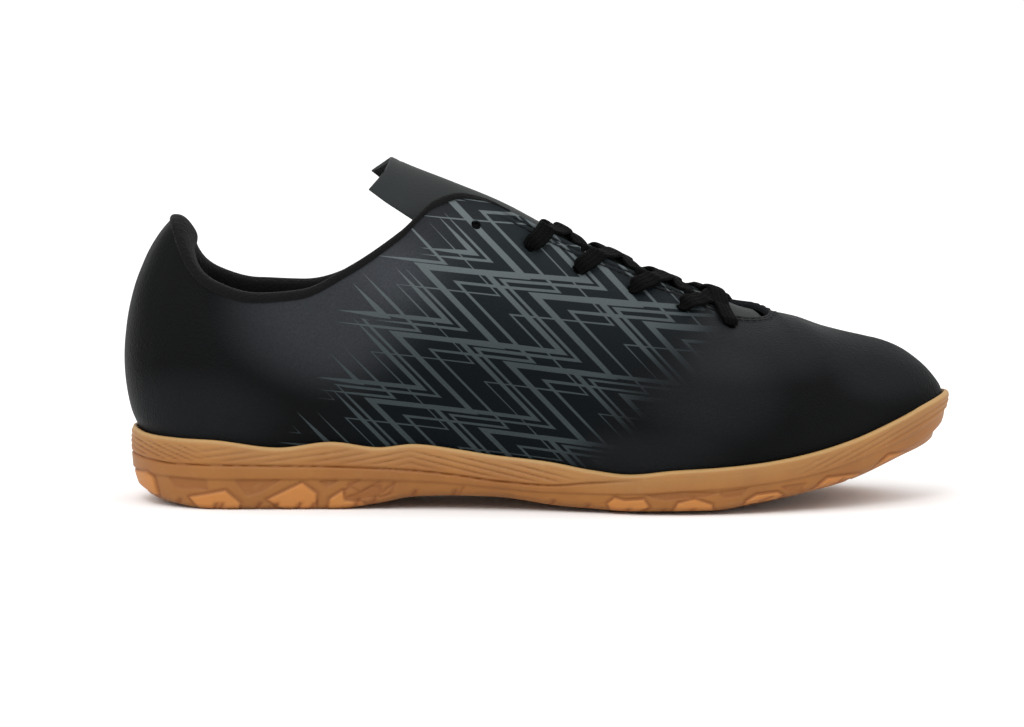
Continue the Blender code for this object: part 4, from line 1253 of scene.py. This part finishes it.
def build_lining(settings):
    """Padded collar: textile over foam that rolls over the top edge and rises into the heel tab."""
    front = float(turn_of(COLLAR_FRONT))
    us = np.linspace(-front, front, 300)
    roll, behind = ROLL_HEIGHT, WALL + CLEARANCE
    fade = np.minimum((front - abs(us)) / (PAD_FADE * front), 1.0)
    tab = np.maximum(1 - abs(us) / TAB_TURN, 0.0)
    tip = smooth(front - np.abs(us), 0.0, 0.05)
    pad = PAD_THICKNESS * (PAD_END + (1 - PAD_END) * fade + TAB_PAD * tab)
    sections = upper_section(us)
    top, end = sections[2], sections[4]
    normal = upper_normal(us, np.ones(len(us)))
    behind_row = [off_upper(us, np.full(len(us), v), -behind) for v in (0.60, 0.72, 0.84, 0.95, 1.0)]
    lift = roll * (0.35 + 0.65 * tip) * (1 - 0.25 * smooth(np.abs(us), 0.20, 0.32))
    hem = settings.binding_hem
    edge = [
        (CLEARANCE + 0 * lift, -0.55 * WALL + 0 * pad), (CLEARANCE + 0 * lift, 0.10 * MM + 0 * pad),
        (-hem * tip, 0.06 * MM + 0 * pad), (-hem * tip, 0.62 * MM + 0 * pad),
        (0.20 * lift, 0.78 * MM * tip), (0.80 * lift, 0.25 * MM - 0.15 * behind + 0 * pad),
        (1.05 * lift, -0.8 * behind - 0.05 * pad), (1.05 * lift, -behind - 0.35 * pad),
        (0.75 * lift, -behind - 0.80 * pad), (0.0 * lift, -behind - 1.05 * pad),
    ]
    row = behind_row + [top + up[:, None] * end + out[:, None] * normal for up, out in edge]
    for v, thick in ((0.93, 1.12), (0.85, 1.10), (0.77, 0.95), (0.69, 0.62), (0.62, 0.30)):
        row.append(off_upper(us, np.full(len(us), v), -behind - thick * pad))
    control = np.stack(row, 1)
    heel = smooth(abs(us[1:-1]), 0.20, 0.10)[:, None, None] * (np.arange(len(row)) > 9)[:, None]
    for _ in range(400):
        control[1:-1] += heel * (0.25 * control[:-2] - 0.5 * control[1:-1] + 0.25 * control[2:])
    loops = rounded_loop(control, 4)
    points, faces = swept(loops)
    textile = knit_textile("collar_textile", settings.textile_tone)
    piece = make_piece("collar_padding", points, faces, [textile], sharp=80)
    return place_piece(piece, "lining_textile", "collar_lining")


def tongue_top(share, part):
    """Height of the face of the tongue at a share of the length, part way across it from -1 to 1."""
    first = TONGUE[0][0]
    front = smooth(share, 0.66, 0.72) * smooth(share, 0.782, 0.758)
    crown = 0.8 * MM * smooth(share, 0.46, 0.51) * smooth(share, 0.782, 0.758) + 1.2 * MM * front
    turned = 3.0 * MM * smooth(share, first + 0.06, first) * np.maximum(part, 0) ** 1.5
    arched = tongue_height(share) - tongue_drop(share) * part * part
    return arched + crown * (1 - part * part) + turned + 1.5 * MM * front * (1 + part)


def build_tongue(settings):
    """Arched tongue: coated face with a turned edge, textile back, a little padding between."""
    first, final = TONGUE[0][0], TONGUE[-1][0]
    fine_to = first + 0.03
    shares = np.concatenate([np.linspace(first, fine_to, 14)[:-1], np.linspace(fine_to, final, 80)])
    across = np.sin(np.linspace(-0.5, 0.5, 45) * math.pi)
    grid, part = np.meshgrid(shares, across, indexing="ij")
    corner = TONGUE_CORNER * np.maximum(1 - (grid - first) / CORNER_RUN, 0.0)
    x = length_x(grid) - corner * np.abs(part) ** 3
    half = tongue_half(grid)
    y = BALL_WIDTH * top_middle(grid) + part * half
    z = tongue_top(grid, part)
    end_in = np.sqrt(np.clip((grid - first) / 0.0025, 0, 1))
    full = 0.45 + 0.55 * smooth(grid, first, first + 0.08)
    rounded = np.sqrt(np.clip(1 - np.abs(part) ** 12, 0, 1))
    thick = TONGUE_THICKNESS * full * rounded * (0.70 + 0.30 * end_in)
    centre = z - TONGUE_THICKNESS * full / 2
    hem_edge = np.minimum((1 - np.abs(part)) * half, (grid - first) * LENGTH)
    hem = 0.18 * MM * np.exp(-((hem_edge - 3.2 * MM) / (0.5 * MM)) ** 2)
    top = vectors(x, y, centre + 0.5 * thick - hem)
    low = vectors(x, y, centre - 0.5 * thick)
    loops = np.concatenate([top, low[:, ::-1][:, 1:-1]], 1)
    points, faces = swept(loops)
    around = loops.shape[1]
    face_count = (len(shares) - 1) * around
    lower = (np.arange(face_count) % around) >= len(across) - 1
    slots = np.concatenate([lower.astype(int), [0, 1]])
    materials = [tongue_leather(settings), knit_textile("tongue_textile", settings.textile_tone)]
    piece = make_piece("tongue_pad", points, faces, materials, slots, sharp=70)
    return place_piece(piece, "tongue_synthetic", "tongue")


def build_insole(settings):
    """Thin sock with a turned edge and a soft cup under the heel."""
    us = around_shoe(160)
    inset = FOOT_INSET + WALL + 0.2 * CLEARANCE
    share = share_of(side_of(us)[1])
    edge = outline_inset(us, inset, 0.0)
    first, final = CENTRE_IN
    at = first + (1 - first - final) * share
    middle = vectors(sole_x(at), BALL_WIDTH * outline_middle(at), 0.0)
    loops = []
    for part in np.linspace(0, 1, 22) ** 0.85:
        point = middle + part * (edge - middle)
        lift = CLEARANCE + INSOLE_THICKNESS - 0.9 * MM * smooth(part, 0.93, 1.0)
        dip = 0.5 * MM * smooth(part, 0.8, 0.2) * smooth(sole_share(point[:, 0]), 0.35, 0.15)
        point[:, 2] = cup_floor(sole_share(point[:, 0])) + lift - dip
        loops.append(point)
    for part in (1.0, 0.5, 0.0):
        point = middle + part * (edge - middle)
        point[:, 2] = cup_floor(sole_share(point[:, 0])) + CLEARANCE
        loops.append(point)
    loops = np.stack(loops, 1)
    join_sides(us, loops, (0, loops.shape[1] - 1))
    faces = ring_faces(len(us), loops.shape[1], close_rows=True, close_around=False)
    textile = knit_textile("insole_textile", settings.insole_tone, 0.0014)
    piece = make_piece("insole_sock", loops.reshape(-1, 3), faces.tolist(), [textile], sharp=60)
    return place_piece(piece, "insole_textile", "insole")


# How far a strap of the lace bows towards the toe on its way over the throat
LACE_LEAD = 6 * MM
# How far ahead of the next eyelet a strap meets the far edge of the throat, as a share of the
# length, on the outer and on the inner side
FAR_EDGE_AHEAD = ((-1, 0.013), (1, -0.008))
# Where a strap goes under the edge of the throat: along and down, in millimetres
DIVE = ((0.9, 1.1), (1.5, 2.9), (1.9, 4.7), (2.1, 6.4))


def throat_cover(arch_up):
    """The upper with its throat bridged by a low arch, or a hollow, which the lace lies on."""
    levels = np.linspace(0.4, 1.0, 25)
    parts = np.linspace(0.0, 1.0, 17)[1:-1]
    rows = []
    for turn in np.linspace(float(turn_of(0.36)), float(turn_of(0.92)), 150):
        left = upper_point(np.full(len(levels), -turn), levels)
        right = upper_point(np.full(len(levels), turn), levels)
        bridge = left[-1] + parts[:, None] * (right[-1] - left[-1])
        share = bridge[:, 0] / LENGTH + 0.5
        part = np.clip((bridge[:, 1] - BALL_WIDTH * top_middle(share)) / tongue_half(share), -1, 1)
        bridge[:, 2] += 4 * arch_up * parts * (1 - parts)
        bridge[:, 2] = np.maximum(bridge[:, 2], tongue_top(share, part) + 0.15 * MM)
        rows.append(np.concatenate([left, bridge, right[::-1]]))
    grid = np.stack(rows)
    faces = ring_faces(grid.shape[0], grid.shape[1], close_around=False)
    return BVHTree.FromPolygons([Vector(p) for p in grid.reshape(-1, 3)], faces.tolist())


def on_cover(cover, x, y):
    """Place and upward direction on a cover, straight above or below a point."""
    hit = cover.ray_cast(Vector((x, y, 1.0)), Vector((0, 0, -1)))
    normal = hit[1] if hit[1].z > 0 else -hit[1]
    return np.array(hit[0]), np.array(normal)


def lace_strap(cover, settings, eyelet, far_edge, lift, into_hole=False):
    """Loops of a flat strap from its eyelet over the throat, and where it goes at the far flap."""
    middle, normal = eyelet
    width, thick = settings.lace_width, settings.lace_thickness
    start, end = middle[:2], far_edge[0][:2]
    run = np.linalg.norm(end - start)
    direction = (end - start) / run
    centres, normals = [], []
    for distance in np.arange(0.0022, run - (0.0015 if into_hole else 0.0008), 0.0011):
        part = distance / run
        spot = start + direction * distance + np.array([LACE_LEAD * 4 * part * (1 - part) ** 2, 0.0])
        place, slope = on_cover(cover, *spot)
        centres.append(place)
        normals.append(slope)
    normals = np.array(normals)
    for _ in range(6):
        normals[1:-1] = unit(0.25 * normals[:-2] + 0.5 * normals[1:-1] + 0.25 * normals[2:])
    centres = np.array(centres)
    share = np.linspace(0, 1, len(centres))
    hump = lift * np.exp(-((share - 0.50) / 0.16) ** 2)
    raise_by = 0.56 * thick + 0.20 * MM + hump
    near_hole = 0.9 * MM * np.exp(-(share * run / (3.2 * MM)) ** 2)
    centres = centres + normals * (raise_by + near_hole)[:, None]
    root = [middle - 2.6 * MM * normal, middle - 1.0 * MM * normal, middle + 0.5 * MM * normal,
            0.5 * (middle + 1.7 * MM * normal) + 0.5 * centres[0] - 0.0006 * np.append(direction, 0.0)]
    path = np.concatenate([root, centres])
    ups = np.concatenate([[normal] * len(root), normals])
    scale = np.concatenate([[0.55, 0.62, 0.80, 0.93], np.clip(0.96 + 0.04 * share * 4, 0, 1)])
    bulk = np.concatenate([[1.6, 1.5, 1.3, 1.15], 1.0 + 0.12 * np.exp(-(share * run / 0.004) ** 2)])
    if into_hole:
        last, last_normal = far_edge
        tail = [0.5 * (last + 1.7 * MM * last_normal) + 0.5 * centres[-1], last + 0.5 * MM * last_normal,
                last - 1.0 * MM * last_normal, last - 2.6 * MM * last_normal]
        tail_ups, tail_scale, tail_bulk = [last_normal] * 4, [0.93, 0.80, 0.62, 0.55], [1.15, 1.3, 1.5, 1.6]
    else:
        level = np.append(direction, 0.0)
        last = centres[-1]
        tail = [last + MM * (out * level - down * normals[-1]) for out, down in DIVE]
        tail_ups, tail_scale, tail_bulk = [normals[-1]] * 4, [1.0, 0.95, 0.85, 0.75], [1.0] * 4
    path = np.concatenate([path, tail])
    ups = np.concatenate([ups, tail_ups])
    scale, bulk = np.concatenate([scale, tail_scale]), np.concatenate([bulk, tail_bulk])
    return flat_sweep(path, ups, width * scale, thick * bulk)


def resample(path, columns, step):
    """Points at even steps along a path, with the columns that go with them, through soft corners."""
    n = len(path)
    fine = np.linspace(0, n - 1, n * 8)
    k = np.clip(fine.astype(int), 0, n - 2)
    t = (fine - k)[:, None]
    data = np.concatenate([path, columns], 1)
    a, b = data[np.maximum(k - 1, 0)], data[k]
    c, d = data[k + 1], data[np.minimum(k + 2, n - 1)]
    dense = soft_corner(a, b, c, d, t)
    run = np.concatenate([[0], np.cumsum(np.linalg.norm(np.diff(dense[:, :3], axis=0), axis=1))])
    at = np.linspace(0, run[-1], max(int(run[-1] / step), 4))
    return np.stack([np.interp(at, run, dense[:, j]) for j in range(dense.shape[1])], 1), at


def flat_sweep(path, ups, widths, thicks, step=0.0006, sides=20):
    """Loops of a flat oval cord along a path, with how far across and along each corner lies."""
    data, run = resample(path, np.concatenate([ups, widths[:, None], thicks[:, None]], 1), step)
    path, ups, widths, thicks = data[:, :3], data[:, 3:6], data[:, 6], data[:, 7]
    tangent = unit(np.gradient(path, axis=0))
    aside = unit(np.cross(tangent, ups))
    for _ in range(8):
        aside[1:-1] = unit(0.25 * aside[:-2] + 0.5 * aside[1:-1] + 0.25 * aside[2:])
    aside = unit(aside - (aside * tangent).sum(1, keepdims=True) * tangent)
    over = np.cross(aside, tangent)
    angle = 2 * math.pi * (np.arange(sides) + 0.5) / sides
    c, s = np.cos(angle), np.sin(angle)
    flat_x = np.sign(c) * np.abs(c) ** 0.75 / 2
    flat_y = np.sign(s) * np.abs(s) ** 0.75 / 2
    loops = (path[:, None] + (widths[:, None] * flat_x)[..., None] * aside[:, None]
             + (thicks[:, None] * flat_y)[..., None] * over[:, None])
    across = np.broadcast_to(flat_x + 0.5, (len(path), sides))
    along = np.broadcast_to(run[:, None], (len(path), sides))
    return loops, across, along


def build_laces(settings):
    """One flat lace through the eyelets: a strap from each over the throat and under the far flap."""
    covers = {-1: throat_cover(0.0), 1: throat_cover(-1.1 * THROAT_ARCH)}
    places = {(side, row): (middle, normal) for side, row, middle, normal in eyelet_places()}
    edges = {}
    for side, ahead in FAR_EDGE_AHEAD:
        for row, share in enumerate(EYELETS):
            u, v = spot_below_top(side, share + ahead, 0.0)
            edges[side, row] = (upper_point(u, v), upper_normal(u, v))
    bodies, across, along = [], [], []
    last = len(EYELETS) - 1
    for row in range(FIRST_LACED, last):
        for side in (1, -1):
            into = row == last - 1
            goal = places[-side, row + 1] if into else edges[-side, row + 1]
            on_top = side < 0 if row < last - 1 else side > 0
            lift = 0.70 * settings.lace_thickness if on_top else 0.0
            cover = covers[-side if into else side]
            loops, wide, far = lace_strap(cover, settings, places[side, row], goal, lift, into)
            bodies.append(swept(loops))
            across.append(wide.ravel())
            along.append(far.ravel())
    points, faces = joined(bodies)
    attributes = {"across": np.concatenate(across), "along": np.concatenate(along)}
    piece = make_piece("flat_lace", points, faces, [lace_braid(settings)], sharp=80, attributes=attributes)
    crossings = [f"lace_crossing_{n}" for n in range(1, last - FIRST_LACED + 1)]
    return place_piece(piece, "lace_braid", *crossings)


def stitch_row(points, normals, length, gap, radius):
    """Thread stitches along a seam on the surface, each dipping into the leather at both ends."""
    data, run = resample(points, normals, 0.0003)
    place, normal = data[:, :3], unit(data[:, 3:6])
    bodies = []
    at = gap
    while at + length < run[-1]:
        spots = at + length * np.array([0.0, 0.12, 0.35, 0.65, 0.88, 1.0])
        centre = np.stack([np.interp(spots, run, place[:, k]) for k in range(3)], 1)
        up = unit(np.stack([np.interp(spots, run, normal[:, k]) for k in range(3)], 1))
        high = radius * np.array([-0.9, 0.1, 0.55, 0.55, 0.1, -0.9])
        centre = centre + high[:, None] * up
        tangent = unit(np.gradient(centre, axis=0))
        aside = unit(np.cross(tangent, up))
        over = np.cross(aside, tangent)
        angle = 2 * math.pi * np.arange(7) / 7
        ring = np.cos(angle)[None, :, None] * aside[:, None] + np.sin(angle)[None, :, None] * over[:, None]
        bodies.append(swept(centre[:, None] + radius * ring))
        at += length + gap
    return bodies


def build_stitching(settings):
    """Two rows of stitches along both edges of the throat, in black thread."""
    bodies = []
    length, gap, radius = settings.stitch_length, settings.stitch_gap, settings.stitch_radius
    front = float(turn_of(THROAT_FRONT))
    back = float(turn_of(COLLAR_FRONT))
    for below in SEAM_ROWS:
        for side in (-1, 1):
            us = side * np.linspace(back + 0.002, front - 0.003, 60)
            vs = np.array([below_top(u, below) for u in us])
            bodies += stitch_row(off_upper(us, vs, 0.12 * MM), upper_normal(us, vs), length, gap, radius)
    points, faces = joined(bodies)
    piece = make_piece("stitching", points, faces, [stitch_thread(settings.thread_tone)], sharp=80)
    return place_piece(piece, "coated_synthetic")


def build_stage(settings):
    """Pale floor, soft lights and the camera."""
    scene = bpy.context.scene
    floor = bpy.data.meshes.new("floor")
    floor.from_pydata([(-20, -20, 0), (20, -20, 0), (20, 20, 0), (-20, 20, 0)], [], [(0, 1, 2, 3)])
    pale = Finish("pale_floor", Roughness=0.9, Specular_IOR_Level=0.1)
    pale.shader.inputs["Base Color"].default_value = (*settings.floor_tone, 1.0)
    floor.materials.append(pale.material)
    plane = bpy.data.objects.new("floor", floor)
    scene.collection.objects.link(plane)
    sky = bpy.data.lights.new("soft_sky", "SUN")
    sky.energy = settings.sky_light
    sky.angle = math.radians(110)
    lamp = bpy.data.objects.new("soft_sky", sky)
    lamp.rotation_euler = (math.radians(8), math.radians(-6), 0.0)
    scene.collection.objects.link(lamp)
    for name, place, wide, power in (
        ("softbox_front", (-0.5, -1.7, 1.5), 0.9, settings.front_light),
        ("softbox_heel", (-1.3, -0.8, 1.0), 0.7, settings.heel_light),
        ("softbox_toe", (1.3, -0.5, 1.1), 0.7, settings.toe_light),
    ):
        light = bpy.data.lights.new(name, "AREA")
        light.size = wide
        light.energy = power
        lamp = bpy.data.objects.new(name, light)
        lamp.location = place
        aim = Vector((0, 0, 0.04)) - Vector(place)
        lamp.rotation_euler = aim.to_track_quat("-Z", "Y").to_euler()
        scene.collection.objects.link(lamp)
    world = bpy.data.worlds.new("studio")
    world.use_nodes = True
    world.node_tree.nodes["Background"].inputs[0].default_value = (1, 1, 1, 1)
    world.node_tree.nodes["Background"].inputs[1].default_value = settings.world_light
    scene.world = world
    scene.view_settings.view_transform = "Standard"
    scene.view_settings.look = "None"
    camera = bpy.data.cameras.new("camera")
    camera.sensor_width = 36.0
    camera.lens = 36.0 * settings.camera_distance / (1024 * settings.pixel_size)
    camera.clip_end = 50.0
    eye = bpy.data.objects.new("camera", camera)
    tilt = settings.camera_tilt
    aim = Vector(settings.camera_aim)
    back = Vector((0.0, -math.cos(tilt), math.sin(tilt)))
    eye.location = aim + settings.camera_distance * back
    eye.rotation_euler = (-back).to_track_quat("-Z", "Y").to_euler()
    scene.collection.objects.link(eye)
    scene.camera = eye


def colour(name, description, default):
    """A setting for a colour."""
    return FloatVectorProperty(name=name, description=description, default=default, size=3,
                               min=0.0, max=1.0, subtype="COLOR")


def measure(name, description, default):
    """A setting for a size in metres."""
    return FloatProperty(name=name, description=description, default=default, min=0.0, unit="LENGTH",
                         precision=5)


def light_setting(name, description, default, unit="NONE"):
    """A setting for a light."""
    return FloatProperty(name=name, description=description, default=default, unit=unit)


class ShoeUpperSettings(bpy.types.PropertyGroup):
    # Dark colour of the leather, also used for the painted shade along the stitch lines
    leather_dark_and_seam_shade: colour("Leather, dark", "Darker tone of the black leather", (0.0018, 0.0020, 0.0022))
    # Lighter colour of the leather, reached by its random tone and by its painted highlights
    leather_light_and_sheen: colour("Leather, light", "Lighter tone of the black leather", (0.0340, 0.0370, 0.0420))
    print_line: colour("Print line, low", "Grey of the zigzag lines near the sole", (0.030, 0.039, 0.042))
    print_line_high: colour("Print line, high", "Grey of the zigzag lines near the throat",
                            (0.096, 0.113, 0.118))
    print_ground: colour("Print ground, low", "Dark ground between the lines near the sole",
                         (0.0016, 0.0032, 0.0042))
    print_ground_high: colour("Print ground, high", "Ground between the lines near the throat",
                              (0.0110, 0.0150, 0.0168))
    print_drop: measure("Print drop", "Height of one zigzag of the print", 0.0234)
    print_step: measure("Print step", "Distance from one repeat of the print to the next", 0.0394)
    crease_depth: FloatProperty(name="Crease depth", default=1.0, min=0.0, max=2.0, subtype="FACTOR",
                                description="Share of the full depth of the soft creases")
    textile_tone: colour("Textile", "Black of the inside textile", (0.0056, 0.0056, 0.0058))
    tongue_tone: colour("Tongue", "Tone of the coated face of the tongue", (0.0168, 0.0198, 0.0202))
    binding_hem: measure("Binding hem", "How far the collar binding laps over the leather", 0.0009)
    insole_tone: colour("Insole", "Black of the insole textile", (0.0120, 0.0120, 0.0125))


class ShoeSoleSettings(bpy.types.PropertyGroup):
    gum_dark: colour("Gum, dark", "Darker tone of the gum rubber", (0.234, 0.087, 0.0150))
    gum_light: colour("Gum, light", "Lighter tone of the gum rubber", (0.276, 0.107, 0.0180))
    # Colour of the painted highlight on the raised lugs
    gum_lug_highlight: colour("Gum, raised", "Tone of the raised lugs", (0.480, 0.188, 0.0400))
    # Colour of the painted shade in the grooves and panels
    gum_groove_shade: colour("Gum, sunk", "Tone in the grooves and panels", (0.205, 0.062, 0.012))
    # Pale colour of the dust and of the painted glow along the rim
    gum_dust_and_rim_glow: colour("Gum, rim", "Pale tone along the rim", (0.375, 0.232, 0.088))


class ShoeLaceSettings(bpy.types.PropertyGroup):
    lace_width: measure("Lace width", "Width of the flat lace", 0.0068)
    lace_thickness: measure("Lace thickness", "Thickness of the flat lace", 0.0018)
    lace_tone: colour("Lace", "Black of the lace", (0.0022, 0.0022, 0.0023))
    # Colour of the painted shade between the ribs of the braid
    lace_painted_shade: colour("Lace, between ribs", "Tone between the ribs of the braid", (0.0005, 0.0005, 0.0005))
    thread_tone: colour("Thread", "Tone of the stitches", (0.0025, 0.0025, 0.0027))
    stitch_length: measure("Stitch length", "Length of one stitch", 0.0022)
    stitch_gap: measure("Stitch gap", "Gap between stitches", 0.0005)
    stitch_radius: measure("Stitch radius", "Half the thickness of the thread", 0.00023)


class ShoeStageSettings(bpy.types.PropertyGroup):
    floor_tone: colour("Floor", "Tone of the pale floor", (0.90, 0.90, 0.90))
    sky_light: light_setting("Sky light", "Strength of the soft light from above", 0.80)
    front_light: light_setting("Light in front", "Power of the softbox in front", 14.0, "POWER")
    heel_light: light_setting("Light at the heel", "Power of the softbox at the heel", 2.5, "POWER")
    toe_light: light_setting("Light at the toe", "Power of the softbox at the toe", 3.5, "POWER")
    world_light: light_setting("Room light", "Strength of the even light all round", 1.0)
    camera_distance: measure("Camera distance", "Distance of the camera from the shoe", 2.4)
    camera_tilt: FloatProperty(name="Camera tilt", description="How far the camera looks down",
                               default=math.radians(6.0), subtype="ANGLE")
    pixel_size: measure("Pixel size", "Width of one pixel at the shoe, in a frame 1024 pixels wide",
                        0.0003515)
    camera_aim: FloatVectorProperty(name="Camera aim", description="Point in the middle of the frame",
                                    default=(-0.00896, 0.0, 0.04775), subtype="TRANSLATION", unit="LENGTH")


class SHOE_OT_upper(bpy.types.Operator):
    """Builds the hollow leather upper with its creases, print and eyelets"""
    bl_idname = "shoe.upper"
    bl_label = "Upper"

    def execute(self, context):
        build_upper(context.scene.shoe_upper)
        return {"FINISHED"}


class SHOE_OT_lining(bpy.types.Operator):
    """Builds the padded collar lining with its heel tab"""
    bl_idname = "shoe.lining"
    bl_label = "Collar lining"

    def execute(self, context):
        build_lining(context.scene.shoe_upper)
        return {"FINISHED"}


class SHOE_OT_tongue(bpy.types.Operator):
    """Builds the arched tongue under the throat"""
    bl_idname = "shoe.tongue"
    bl_label = "Tongue"

    def execute(self, context):
        build_tongue(context.scene.shoe_upper)
        return {"FINISHED"}


class SHOE_OT_insole(bpy.types.Operator):
    """Builds the textile insole"""
    bl_idname = "shoe.insole"
    bl_label = "Insole"

    def execute(self, context):
        build_insole(context.scene.shoe_upper)
        return {"FINISHED"}


class SHOE_OT_outsole(bpy.types.Operator):
    """Builds the gum rubber sole with its rim, ribs, lugs and tread"""
    bl_idname = "shoe.outsole"
    bl_label = "Outsole"

    def execute(self, context):
        build_outsole(context.scene.shoe_sole)
        return {"FINISHED"}


class SHOE_OT_laces(bpy.types.Operator):
    """Runs the flat lace through the eyelets"""
    bl_idname = "shoe.laces"
    bl_label = "Laces"

    def execute(self, context):
        build_laces(context.scene.shoe_lace)
        return {"FINISHED"}


class SHOE_OT_stitching(bpy.types.Operator):
    """Sews the rows of stitches along the throat"""
    bl_idname = "shoe.stitching"
    bl_label = "Stitching"

    def execute(self, context):
        build_stitching(context.scene.shoe_lace)
        return {"FINISHED"}


class SHOE_OT_stage(bpy.types.Operator):
    """Sets up the floor, the soft lights and the camera"""
    bl_idname = "shoe.stage"
    bl_label = "Stage"

    def execute(self, context):
        build_stage(context.scene.shoe_stage)
        return {"FINISHED"}


class SHOE_PT_panel(bpy.types.Panel):
    """Lists the pieces of the shoe and the sizes and colours that can be changed"""
    bl_idname = "SHOE_PT_panel"
    bl_label = "Indoor soccer shoe"
    bl_space_type = "VIEW_3D"
    bl_region_type = "UI"
    bl_category = "Shoe"

    def draw(self, context):
        for operator in OPERATORS:
            self.layout.operator(operator.bl_idname)
        for group in (context.scene.shoe_upper, context.scene.shoe_sole, context.scene.shoe_lace,
                      context.scene.shoe_stage):
            for key in group.__annotations__:
                self.layout.prop(group, key)


GROUPS = (ShoeUpperSettings, ShoeSoleSettings, ShoeLaceSettings, ShoeStageSettings)
OPERATORS = (
    SHOE_OT_outsole, SHOE_OT_upper, SHOE_OT_lining, SHOE_OT_tongue, SHOE_OT_insole, SHOE_OT_laces,
    SHOE_OT_stitching, SHOE_OT_stage,
)


def register():
    for item in GROUPS + OPERATORS + (SHOE_PT_panel,):
        bpy.utils.register_class(item)
    bpy.types.Scene.shoe_upper = PointerProperty(type=ShoeUpperSettings)
    bpy.types.Scene.shoe_sole = PointerProperty(type=ShoeSoleSettings)
    bpy.types.Scene.shoe_lace = PointerProperty(type=ShoeLaceSettings)
    bpy.types.Scene.shoe_stage = PointerProperty(type=ShoeStageSettings)


def unregister():
    for name in ("shoe_upper", "shoe_sole", "shoe_lace", "shoe_stage"):
        delattr(bpy.types.Scene, name)
    for item in reversed(GROUPS + OPERATORS + (SHOE_PT_panel,)):
        bpy.utils.unregister_class(item)


def main():
    """Builds every piece in order."""
    register()
    bpy.ops.shoe.stage()
    bpy.ops.shoe.outsole()
    bpy.ops.shoe.upper()
    bpy.ops.shoe.lining()
    bpy.ops.shoe.tongue()
    bpy.ops.shoe.insole()
    bpy.ops.shoe.laces()
    bpy.ops.shoe.stitching()


if __name__ == "__main__":
    main()
